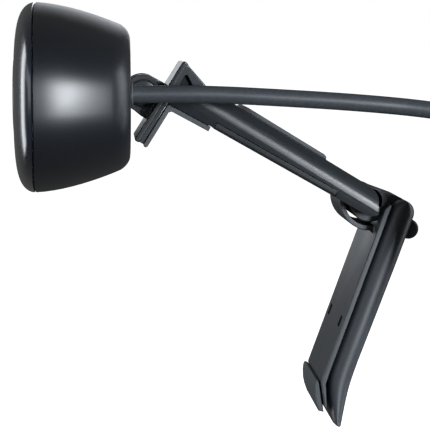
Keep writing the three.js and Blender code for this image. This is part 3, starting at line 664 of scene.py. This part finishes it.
def front_stations(shares):
    return [(SEAM_X - front_rise(s), HEAD_HALF_WIDTH * s, HEAD_HALF_HEIGHT * s) for s in shares]


def make_bezel():
    shares = [1, 0.9985, 0.995, 0.989, 0.98, 0.968, 0.952, 0.93, 0.905, 0.875, 0.84, 0.8]
    shares.append(FACE_SHARE + 0.012)
    outside = front_stations(shares)
    lip_x = outside[-1][0]
    lip_wide, lip_high = HEAD_HALF_WIDTH * FACE_SHARE, HEAD_HALF_HEIGHT * FACE_SHARE
    stations = [(SEAM_X, HEAD_HALF_WIDTH - 0.18, HEAD_HALF_HEIGHT - 0.18)]
    stations += [(x - 0.14 * (i == 0), wide, high) for i, (x, wide, high) in enumerate(outside)]
    stations += [
        (lip_x + 0.06, lip_wide + 0.12, lip_high + 0.12), (lip_x + 0.25, lip_wide, lip_high),
        (lip_x + FRONT_WALL, lip_wide, lip_high),
        (SEAM_X - 0.9, HEAD_HALF_WIDTH - 2.6, HEAD_HALF_HEIGHT - 2.6),
        (SEAM_X, HEAD_HALF_WIDTH - FRONT_WALL, HEAD_HALF_HEIGHT - FRONT_WALL),
    ]
    piece = ringed("bezel", oval(), stations, closed=True)
    sweep_ends(piece)
    return settle(piece, RING_PLACE, "head", GLOSS, ["front_bezel"])


def make_face():
    rim = FACE_SHARE - 0.004
    shares = [rim - 0.01, 0.68, 0.6, 0.5, 0.4, 0.3]
    outside = front_stations(shares)
    rim_wide, rim_high = HEAD_HALF_WIDTH * rim, HEAD_HALF_HEIGHT * rim
    stations = [
        (outside[0][0] + FRONT_WALL, rim_wide, rim_high),
        (outside[0][0] + 0.22, rim_wide, rim_high),
        (outside[0][0] + 0.05, rim_wide - 0.1, rim_high - 0.1),
    ] + outside
    piece = ringed("face_cover", oval(), stations)
    sweep_ends(piece)
    lens_hole = turned("lens_hole", [(CROWN_X - 2, 7.5 + HAIRLINE), (SEAM_X + 1, 7.5 + HAIRLINE)], 96)
    mic_hole = shifted(turned("mic_hole", [(CROWN_X - 2, 0.55), (SEAM_X + 1, 0.55)], 24), 14)
    led_hole = shifted(turned("led_hole", [(CROWN_X - 2, 0.95), (SEAM_X + 1, 0.95)], 32), -14)
    cut(piece, lens_hole, mic_hole, led_hole)
    return settle(piece, RING_PLACE, "head", GLOSS, ["face_plate"])


def make_lens_ring():
    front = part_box("lens_ring")[0].x / MM
    profile = [
        (front, 6.0), (front, 6.7), (front + 0.08, 7.05), (front + 0.28, 7.35), (front + 0.55, 7.5),
        (front + 3.1, 7.5), (front + 3.1, 4.4), (front + 1.65, 4.4), (front + 1.65, 5.75),
        (front + 0.62, 5.75), (front + 0.3, 5.82), (front + 0.06, 5.9),
    ]
    piece = turned("lens_trim", profile, 96, closed=True)
    return settle(piece, RING_PLACE, "head", GLOSS, ["lens_ring"])


def make_window():
    """The lens window, very slightly domed, with a bevelled rim."""
    low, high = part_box("lens_window")
    front, back = low.x / MM, high.x / MM
    profile = [(back, 5.5), (front + 0.15, 5.6), (front, 5.45)]
    profile += [(front - 0.12 * (1 - (r / 5.45) ** 2), r) for r in (4.6, 3.6, 2.4, 1.2, 0.3)]
    piece = turned("lens_cover", profile, 96)
    return settle(piece, RING_PLACE, "head", GLASS, ["lens_window"])


def rear_sizes(depth):
    """Half sizes of the rear shell: a taper that quickens, then a rounded corner into the flat back."""
    def corner(length, drop):
        past = max(0.0, depth - REAR_DEPTH + length) / length
        return drop * (1 - math.sqrt(max(0.0, 1 - past * past)))
    share = depth / 14.3
    high = HEAD_HALF_HEIGHT - 3.7 * share ** 1.6 - corner(1.9, 1.6)
    wide = HEAD_HALF_WIDTH - 4.4 * share ** 1.6 - corner(3.2, 2.8)
    return wide, high


def make_rear_shell():
    depths = [0.12, 1.5, 3, 4.5, 6, 7.5, 9, 10.4, 11.6, 12.6, 13.2, 13.7, 14.2, 14.6]
    depths += [15.0, 15.3, 15.5, 15.66, 15.77, 15.83, REAR_DEPTH]
    first_wide, first_high = rear_sizes(0)
    outside = [(SEAM_X + HAIRLINE, first_wide - 0.16, first_high - 0.16)]
    for depth in depths:
        outside.append((SEAM_X + HAIRLINE + depth * (1 - HAIRLINE / REAR_DEPTH), *rear_sizes(depth)))
    last_x, last_wide, last_high = outside[-1]
    inside = [(last_x - SHELL_WALL, last_wide - 1.0, last_high - 1.0)]
    for depth in (13.6, 12, 9, 6, 3):
        wide, high = rear_sizes(depth)
        inside.append((SEAM_X + depth, wide - SHELL_WALL, high - SHELL_WALL))
    inside.append((SEAM_X + HAIRLINE, first_wide - SHELL_WALL, first_high - SHELL_WALL))
    shell = ringed("back_cover", oval(), outside)
    hollow = ringed("hollow", oval(), [(SEAM_X - 3, inside[-1][1], inside[-1][2])] + inside[::-1])
    for piece in (shell, hollow):
        for vertex in piece.data.vertices:
            ahead = max(0.0, 1 - (vertex.co.z - SEAM_X) / REAR_DEPTH)
            vertex.co.z += SEAM_BOW * (vertex.co.x / HEAD_HALF_WIDTH) ** 2 * min(1.0, ahead)
    cut(shell, hollow)
    half_width, half_height = (half + HAIRLINE for half in BRACKET_HALF)
    tilt_up = TILT.z - HEAD_Z
    window = block(
        "window", -half_width, half_width, tilt_up - half_height, tilt_up + half_height,
        BACK_X - 4, BACK_X + 2,
    )
    round_edges(window, lambda a, b: abs(a.z - b.z) > 2, 0.5, 4)
    cord_hole = turned("cord_hole", [(BACK_X - 4, 2.1), (BACK_X + 2, 2.1)], 48)
    shifted(cord_hole, CORD_SIDE, CORD_UP - HEAD_Z)
    cut(shell, window, cord_hole)
    return settle(shell, RING_PLACE, "head", SATIN, ["rear_shell"])


# ------------------------------------------------------------------ clip
HOOK_LEAN = math.radians(3.3)
HOOK_FRONT = -6.25
HOOK_THICKNESS = 1.55
HOOK_PLATE = 0.9
HOOK_TOP, HOOK_BOTTOM = 8.4, -7.1
PAD_THICKNESS = 0.8
PAD_BACK = PAD_THICKNESS + 0.12
ARM_END = FLAP_AXIS[0] + 1.15
FORK_ROOT = FLAP_AXIS[0] - 5.1 - 0.3
PLATE_START, PLATE_END = 4.1, 27.3
PLATE_THICKNESS = 1.1


def hook_x(height, depth=0.0):
    return HOOK_FRONT + height * math.tan(HOOK_LEAN) + depth


def arm_line(x, low, high):
    """Height at x of an arm edge that is low at the arm's root and high at its tip."""
    return low + (high - low) * (x - ARM_ROOT_X) / ARM_RUN


def arm_bottom(x):
    return arm_line(x, 0.8, 0.32)


def arm_top(x):
    return arm_line(x, 6.15, 4.85)


def make_hook_plate():
    """The hook's broad front plate, rounded along its rims and at its foot."""
    outline = [
        (hook_x(HOOK_BOTTOM), HOOK_BOTTOM), (hook_x(HOOK_BOTTOM, HOOK_PLATE), HOOK_BOTTOM),
        (hook_x(HOOK_TOP, HOOK_PLATE), HOOK_TOP - 0.25), (hook_x(HOOK_TOP, HOOK_PLATE - 0.35), HOOK_TOP),
        (hook_x(HOOK_TOP, 0.25), HOOK_TOP - 0.05), (hook_x(HOOK_TOP), HOOK_TOP - 0.4),
    ]
    piece = slab("hook_plate", outline, CLIP_HALF)

    def outer_edge(a, b):
        return on_rim(a, b) or (along_width(a, b) and a.y < HOOK_BOTTOM + 0.1)
    round_edges(piece, outer_edge, 0.22, 3)
    return settle(piece, CLIP_PLACE, "clip", CLIP_PLASTIC, ["clip_frame"])


def make_hook_web():
    """The web behind the plate's lower part, set in from its sides."""
    outline = [
        (hook_x(HOOK_BOTTOM, 0.4), HOOK_BOTTOM + 0.15),
        (hook_x(HOOK_BOTTOM, HOOK_THICKNESS), HOOK_BOTTOM + 0.1),
        (hook_x(PAD_BACK, HOOK_THICKNESS), PAD_BACK), (hook_x(PAD_BACK, 0.4), PAD_BACK),
    ]
    piece = slab("hook_web", outline, CLIP_HALF - 0.4)
    round_edges(piece, on_rim, 0.12, 2)
    return settle(piece, CLIP_PLACE, "clip", CLIP_PLASTIC)


SHOULDER_WIDTH, SHOULDER_HEIGHT = 2.6, 3.0
CORNER_START = HOOK_FRONT + 0.5


def arm_outline():
    """The arm from the side, from the hook to its end face, which turns under to let the flap fold past."""
    def plate_top(x):
        return arm_bottom(x) + PLATE_THICKNESS + HAIRLINE
    axis_x, axis_y = FLAP_AXIS
    foot = axis_y - arm_bottom(axis_x)
    outline = [
        (CORNER_START + 0.1, PAD_BACK), (PLATE_START - HAIRLINE, PAD_BACK),
        (PLATE_START - HAIRLINE, plate_top(PLATE_START)), (PLATE_END + 0.05, plate_top(PLATE_END)),
        (PLATE_END + 0.05, arm_bottom(PLATE_END)),
    ]
    outline += arc(axis_x, axis_y, foot, -90, -37, 8)
    crown = ARM_END - 3
    outline += curve_between((ARM_END, axis_y), (ARM_END - 0.5, axis_y + 2.0), (crown, arm_top(crown)), 8)
    outline.append((CORNER_START + 0.3, arm_top(CORNER_START)))
    return outline


def arm_bar():
    """A long bar with full round shoulders, its top on the arm's top."""
    def shoulder(side):
        points = []
        for degrees in range(0, 91, 9):
            a = math.radians(degrees)
            across = CLIP_HALF - SHOULDER_WIDTH + SHOULDER_WIDTH * math.cos(a)
            points.append((side * across, SHOULDER_HEIGHT * (math.sin(a) - 1)))
        return points

    def flank(side):
        steps = ((0.55, -6.0), (0.3, -4.9), (0.1, -3.9))
        return [(side * (CLIP_HALF - inset), height) for inset, height in steps]
    section = [(-CLIP_HALF + 0.9, -12.0), (CLIP_HALF - 0.9, -12.0)]
    section += flank(1) + shoulder(1) + shoulder(-1)[::-1] + flank(-1)[::-1]
    bar = slab("bar", section, 45.0)
    slope = math.atan2(arm_top(ARM_RUN) - arm_top(0), ARM_RUN)
    bar.data.transform(
        Matrix.Translation((0, arm_top(0), 0))
        @ Matrix.Rotation(slope, 4, "Z")
        @ Matrix.Rotation(math.radians(90), 4, "Y")
    )
    return bar


def make_arm():
    """The arm and the braced corner it grows from, forked at its end for the flap's knuckle."""
    piece = slab("arm_body", arm_outline(), CLIP_HALF)
    combine(piece, arm_bar(), "INTERSECT")
    brace = slab("brace", [
        (hook_x(PAD_BACK, 0.5), PAD_BACK + 0.05), (hook_x(PAD_BACK, 1.7), PAD_BACK + 0.05),
        (-1.6, arm_top(-1.6) - 2.6), (0.4, arm_top(0.4) - 0.7), (0.0, arm_top(0.0)),
        (hook_x(HOOK_TOP, 1.15), HOOK_TOP - 0.35), (hook_x(HOOK_TOP, 0.95), HOOK_TOP - 0.12),
        (hook_x(HOOK_TOP, 0.5), HOOK_TOP - 0.1),
    ], CLIP_HALF - 0.01)
    round_edges(brace, on_rim, 0.2, 3)
    join(piece, brace)
    for side in (-1, 1):
        pocket = slab("pocket", [
            (hook_x(4.2, 1.5), 4.2), (-1.9, 4.2), (-1.9, 5.15),
            (hook_x(6.5, 1.9), 6.6), (hook_x(6.4, 1.5), 6.4),
        ], 1.3, side * CLIP_HALF)
        for vertex in pocket.data.vertices:
            if abs(vertex.co.z) < CLIP_HALF and vertex.co.y < 5.0:
                vertex.co.z = side * (CLIP_HALF - 0.1)
        cut(piece, pocket)
        seam = slab("seam", [
            (PLATE_END, arm_bottom(PLATE_END) + PLATE_THICKNESS),
            (ARM_END + 2, arm_bottom(ARM_END) + PLATE_THICKNESS),
            (ARM_END + 2, arm_bottom(ARM_END) + PLATE_THICKNESS + HAIRLINE),
            (PLATE_END, arm_bottom(PLATE_END) + PLATE_THICKNESS + HAIRLINE),
        ], 0.3, side * CLIP_HALF)
        cut(piece, seam)
    fork = KNUCKLE_HALF + 0.3
    cut(piece, block("fork", FORK_ROOT, ARM_END + 9, -9, 15, -fork, fork))
    return settle(piece, CLIP_PLACE, "clip", CLIP_PLASTIC)


def make_bottom_plate():
    outline = [
        (PLATE_START, arm_bottom(PLATE_START)), (PLATE_END, arm_bottom(PLATE_END)),
        (PLATE_END, arm_bottom(PLATE_END) + PLATE_THICKNESS),
        (PLATE_START, arm_bottom(PLATE_START) + PLATE_THICKNESS),
    ]
    piece = slab("arm_cover", outline, CLIP_HALF - 0.35)

    def lower_rim(a, b):
        return on_rim(a, b) and a.y < arm_bottom(a.x) + 0.2 and b.y < arm_bottom(b.x) + 0.2
    round_edges(piece, lower_rim, 0.5, 4)
    sinks = []
    for x in COVER_SCREWS.values():
        sink = turned("sink", [(arm_bottom(x) - 1, 1.7), (arm_bottom(x) + 0.6, 1.7)], 40)
        sink.data.transform(Matrix.Rotation(math.radians(-90), 4, "X"))
        sinks.append(shifted(sink, x))
    cut(piece, *sinks)
    return settle(piece, CLIP_PLACE, "clip", CLIP_PLASTIC, ["arm_bottom_plate"])


def make_cover_screws():
    """The two cross-headed screws sunk in the arm's cover."""
    for name, x in COVER_SCREWS.items():
        seat = arm_bottom(x) + 0.55
        profile = [(-seat, 0.65), (-seat + 0.02, 1.45), (-seat + 0.3, 1.4), (-seat + 0.45, 1.0)]
        head = turned(f"cover_screw_{name}", profile, 32)
        for angle in (0, 90):
            slot = block("slot", -0.9, 0.9, -0.16, 0.16, -seat + 0.22, -seat + 1)
            slot.data.transform(Matrix.Rotation(math.radians(angle), 4, "Z"))
            cut(head, slot)
        head.data.transform(Matrix.Rotation(math.radians(90), 4, "X"))
        shifted(head, x)
        settle(head, CLIP_PLACE, "clip", STEEL, [f"plate_screw_{name}"])


def make_top_strip():
    start, end, height = 6.9, 23.4, 0.65
    outline = [
        (start, arm_top(start) - 0.05), (end, arm_top(end) - 0.05),
        (end - 0.25, arm_top(end) + height * 0.7), (end - 0.7, arm_top(end) + height),
        (start + 0.7, arm_top(start) + height), (start + 0.25, arm_top(start) + height * 0.7),
    ]
    piece = slab("arm_rest_strip", outline, 9.0)
    round_edges(piece, on_rim, 0.2, 3)
    return settle(piece, CLIP_PLACE, "clip", RUBBER, ["arm_top_strip"])


def make_grip_pad():
    """The rubber corner that grips the screen's edge, its two free ends rounded off."""
    depth = HOOK_THICKNESS + HAIRLINE
    foot = HOOK_BOTTOM - 0.2
    corner = hook_x(0, depth + PAD_THICKNESS)
    outline = [(hook_x(foot, depth), foot + 0.3), (hook_x(foot, depth + 0.25), foot)]
    outline += [
        (hook_x(foot, depth + PAD_THICKNESS - 0.25), foot),
        (hook_x(foot, depth + PAD_THICKNESS), foot + 0.3),
    ]
    outline += [(corner - 0.02, -0.35), (corner + 0.35, 0.0), (3.5, 0.0), (3.5, PAD_THICKNESS)]
    outline += [(hook_x(PAD_THICKNESS, depth), PAD_THICKNESS)]
    piece = slab("grip_corner", outline, CLIP_HALF - 0.3)
    round_edges(piece, on_rim, 0.16, 3)
    return settle(piece, CLIP_PLACE, "clip", RUBBER, ["grip_pad"])


EAR_RADIUS = 3.2
EAR_HALF = 8.0
LUG_ROOM = 5.2


def make_tilt_neck():
    """The neck that stands off the hook and splits into two round ears."""
    x, y = TILT_AXIS
    root = hook_x(0) + 0.5
    below = EAR_RADIUS + 0.3
    outline = [(root, y - below), (root, y + EAR_RADIUS)]
    outline += arc(x, y, EAR_RADIUS, 90, 270, 28)
    outline.append((x + 1.5, y - below))
    piece = slab("tilt_neck", outline, EAR_HALF)
    round_edges(piece, on_rim, 0.22, 3)
    hollow = [(x - 9, y - 9), (x, y - 9)] + arc(x, y, 3.0, -90, 90, 16) + [(x, y + 9), (x - 9, y + 9)]
    room = slab("room", hollow, LUG_ROOM)
    cut(piece, room)
    for side in (-1, 1):
        sink = turned("sink", [(-0.5, 2.4), (1.0, 2.4)] if side > 0 else [(-1.0, 2.4), (0.5, 2.4)], 48)
        cut(piece, shifted(sink, x, y, side * EAR_HALF))
    return settle(piece, CLIP_PLACE, "clip", CLIP_PLASTIC)


def make_pin_caps():
    for name, side in (("pin_cap_left", 1), ("pin_cap_right", -1)):
        profile = [(-0.45, 2.2), (0.0, 2.25), (0.12, 2.18), (0.19, 2.0), (0.2, 1.2), (0.21, 0.4)]
        piece = turned(f"{name}_disc", profile, 56)
        if side < 0:
            piece.data.transform(Matrix.Rotation(math.pi, 4, "X"))
        shifted(piece, *TILT_AXIS, side * EAR_HALF)
        settle(piece, CLIP_PLACE, "clip", CLIP_PLASTIC, [name])


# ------------------------------------------------------------------ flap
PLATE_FACE = 2.4
SHELL_FRONT, SHELL_BACK = 3.45, 7.6
TOE_START, TIP_REACH = 31.3, 37.5
TOE_SLOPE = math.radians(28.5)
CURL_RADIUS, CURL_WALL = 5.1, 0.85
BAR_DROP, BAR_RADIUS = 2.2, 1.7


EDGE_ROUND = 2.1         # how far in from each side the shell's edges are round


def make_flap_shell():
    """The outer shell: full round at its top and edges, flared out to a thin tip."""
    edge = EDGE_ROUND / CLIP_HALF
    section = []
    for degrees in range(-90, 91, 10):
        a = math.radians(degrees)
        section.append((math.sin(a), 1 - edge + edge * math.cos(a)))
    section += [(x, -y) for x, y in reversed(section)]
    sides = [
        (-37.5, 7.35, 8.35), (-37.35, 7.0, 8.42), (-36.9, 6.5, 8.36), (-36.0, 5.95, 8.22),
        (-35.0, 5.45, 8.06), (-34.0, 4.92, 7.9), (-33.0, 4.45, 7.75), (-32.0, 4.05, 7.62),
        (-31.0, 3.73, 7.51), (-30.0, 3.52, 7.44),
        (-28.5, 3.42, 7.38), (-26, 3.4, 7.36), (-18, 3.4, 7.48), (-8, 3.4, 7.6), (0, 3.4, 7.6),
    ]
    middle, radius = 5.5, 2.1
    for degrees in (12, 24, 36, 48, 58, 67, 75, 82, 87):
        a = math.radians(degrees)
        sides.append((radius * math.sin(a), middle - radius * math.cos(a), middle + radius * math.cos(a)))
    stations = [(height, (back - front) / 2, CLIP_HALF) for height, front, back in sides]
    piece = ringed("flap_cover", section, stations)
    for vertex in piece.data.vertices:
        nearest = min(sides, key=lambda side: abs(side[0] - vertex.co.z))
        vertex.co.x += (nearest[1] + nearest[2]) / 2
    piece.data.transform(Matrix.Rotation(math.radians(-90), 4, "X"))
    cut(piece, shifted(rod("groove", BAR_RADIUS + 0.1, 10.1, 0.05), SHELL_BACK, -BAR_DROP))
    return settle(piece, FLAP_PLACE, "flap", FLAP_PLASTIC, ["flap_shell"])


def make_knuckle():
    """The round knuckle between the arm's cheeks, and the bridge that ties it to the shell."""
    piece = rod("hinge_knuckle", HUB_RADIUS, KNUCKLE_HALF, 0.2, 56)
    drum = rod("drum", DRUM_RADIUS, KNUCKLE_HALF, 0.2, 72)
    cut(drum, block("above", -5, 5, -0.6, 5, -9, 9), block("beyond", SHELL_FRONT, 5, -5, 5, -9, 9))
    join(piece, drum)
    bridge = block("bridge", 0, 5.0, -2.25, 2.2, -KNUCKLE_HALF, KNUCKLE_HALF)
    join(piece, bridge)
    return settle(piece, FLAP_PLACE, "flap", FLAP_PLASTIC)


def make_flap_plate():
    """The flat inner plate, bent outward at its foot, with two fine slots in its face."""
    face, back = PLATE_FACE, SHELL_FRONT - HAIRLINE
    slope = math.tan(TOE_SLOPE)
    low = TIP_REACH - 2.2
    low_x = face + (low - TOE_START) * slope
    outline = [
        (face, -0.4), (face, -TOE_START), (low_x, -low), (low_x + 0.45, -low),
        (back + 0.05, -TOE_START - 0.1), (back, -TOE_START + 1.5), (back, 0.6), (back - 0.45, 0.6),
    ]
    piece = slab("flap_inner", outline, CLIP_HALF - 0.15)
    round_edges(piece, on_rim, 0.25, 3)
    half_window = KNUCKLE_HALF + 0.3
    window = block("window", face - 1, back + 1, -CURL_RADIUS + 0.1, 2, -half_window, half_window)
    cut(piece, window)
    for side in (-1, 1):
        cut(piece, block("slot", face - 1, face + 0.7, -21.9, -20.0, side * 8 - 1.1, side * 8 + 1.1))
    return settle(piece, FLAP_PLACE, "flap", FLAP_PLASTIC, ["flap_inner_plate"])


def make_curl():
    """The plate's middle, turned in and curled round the hinge."""
    inner = CURL_RADIUS - CURL_WALL
    outline = arc(0, 0, inner, 300, 187, 32) + arc(0, 0, CURL_RADIUS, 187, 297, 32)
    piece = slab("flap_curl", outline, KNUCKLE_HALF)
    round_edges(piece, on_rim, 0.2, 3)
    return settle(piece, FLAP_PLACE, "flap", FLAP_PLASTIC)


def make_toe_pad():
    slope = math.tan(TOE_SLOPE)
    x, y = PLATE_FACE - HAIRLINE, -TOE_START - 0.15
    reach = 4.7
    thick = 1.1 / math.cos(TOE_SLOPE)
    outline = [(x, y), (x + reach * slope, y - reach)]
    outline += curve_between(
        (x + reach * slope - thick * 0.75, y - reach - 0.1), (x + 2.6 * slope - thick, y - 3.2),
        (x + 1.9 * slope - thick, y - 1.9), 3)
    outline += curve_between((x + 1.6 * slope - thick, y - 1.5), (x - 0.8, y - 0.2), (x - 0.5, y), 3)
    piece = slab("toe_cushion", outline, 11.0)
    round_edges(piece, on_rim, 0.3, 4)
    return settle(piece, FLAP_PLACE, "flap", RUBBER, ["toe_pad"])


def make_rest_bar():
    piece = shifted(rod("back_rest_bar", BAR_RADIUS, 10.0, 0.45, 64), SHELL_BACK, -BAR_DROP)
    return settle(piece, FLAP_PLACE, "flap", RUBBER, ["rest_bar"])


# ------------------------------------------------------------------ nodes that keep their own shape
def finish_nodes():
    kinds = {
        STEEL: [
            "tilt_pin", "tilt_washer_left", "tilt_washer_right", "flap_pin", "board_screw_left",
            "board_screw_right", "bracket_screw_left", "bracket_screw_right", "clock_crystal", "microphone",
        ],
        CHIP: ["lens_barrel", "lens_holder", "image_sensor", "controller_chip"],
        BOARD: ["main_board"],
        NYLON: ["lead_socket", "status_led"],
        GLASS: ["front_lens", "light_pipe"],
        RUBBER: ["microphone_boot"],
        CORD_SHEATH: ["inner_lead"],
        CLIP_PLASTIC: ["tilt_bracket"],
    }
    for material, names in kinds.items():
        for name in names:
            node = frame["nodes"][name]
            node.data.materials.clear()
            node.data.materials.append(material)


# ------------------------------------------------------------------ floor, backdrop and lights
def make_stage():
    """A flat pale floor."""
    deselect()
    bpy.ops.mesh.primitive_plane_add(size=40, location=(0, 0, -0.12))
    floor = bpy.context.object
    floor.name = "studio_floor"
    material, _, shader = new_material("studio_paper", (0.9, 0.9, 0.9), 0.9)
    shader.inputs["Emission Color"].default_value = (1, 1, 1, 1)
    shader.inputs["Emission Strength"].default_value = 1.0
    floor.data.materials.append(material)
    floor.visible_glossy = False
    floor.visible_diffuse = False


def make_light(name, place, size, power, rounded=False, aim=(0, 0, -0.005)):
    light = bpy.data.lights.new(name, "AREA")
    light.shape = "ELLIPSE" if rounded else "RECTANGLE"
    light.size, light.size_y = size
    light.energy = power
    light.color = (0.90, 0.95, 1.0)
    lamp = bpy.data.objects.new(name, light)
    scene.collection.objects.link(lamp)
    lamp.location = place
    lamp.rotation_euler = (Vector(aim) - Vector(place)).to_track_quat("-Z", "Y").to_euler()
    lamp.visible_camera = False


def make_world():
    """A pale studio: bright to the eye, dimmer as a light so that dark gloss stays dark."""
    world = bpy.data.worlds.new("studio")
    scene.world = world
    world.use_nodes = True
    tree = world.node_tree
    background = tree.nodes["Background"]
    path = tree.nodes.new("ShaderNodeLightPath")
    level = tree.nodes.new("ShaderNodeMapRange")
    level.inputs["To Min"].default_value = 0.09
    level.inputs["To Max"].default_value = 1.0
    tree.links.new(path.outputs["Is Camera Ray"], level.inputs["Value"])
    tree.links.new(level.outputs["Result"], background.inputs["Strength"])
    background.inputs["Color"].default_value = (1, 1, 1, 1)
    scene.view_settings.view_transform = "Standard"


def make_lights():
    make_light("key", (0.35, -0.66, 0.06), (0.12, 0.34), 9.0, rounded=True)
    make_light("side_strip", (0.75, 0.08, 0.05), (0.42, 0.8), 3.8)
    make_light("far_strip", (-0.74, 0.27, 0.03), (0.36, 1.0), 6.0)
    make_light("front", (-0.8, -0.3, 0.3), (0.3, 0.3), 0.4)
    make_light("fill", (-0.6, -0.55, 0.15), (0.4, 0.4), 0.8)
    make_light("card", (-0.005, 0.16, 0.03), (0.05, 0.1), 0.03, aim=(-0.005, 0, 0.03))


# ------------------------------------------------------------------ the whole camera
cord = make_cord()
make_relief()
make_plug_body()
make_plug_can()
make_tongue()
make_tie()
make_grommet()
make_bezel()
make_face()
make_lens_ring()
make_window()
make_rear_shell()
make_hook_plate()
make_hook_web()
make_arm()
make_bottom_plate()
make_cover_screws()
make_top_strip()
make_grip_pad()
make_tilt_neck()
make_pin_caps()
make_flap_shell()
make_knuckle()
make_flap_plate()
make_curl()
make_toe_pad()
make_rest_bar()
finish_nodes()
make_stage()
make_world()
make_lights()
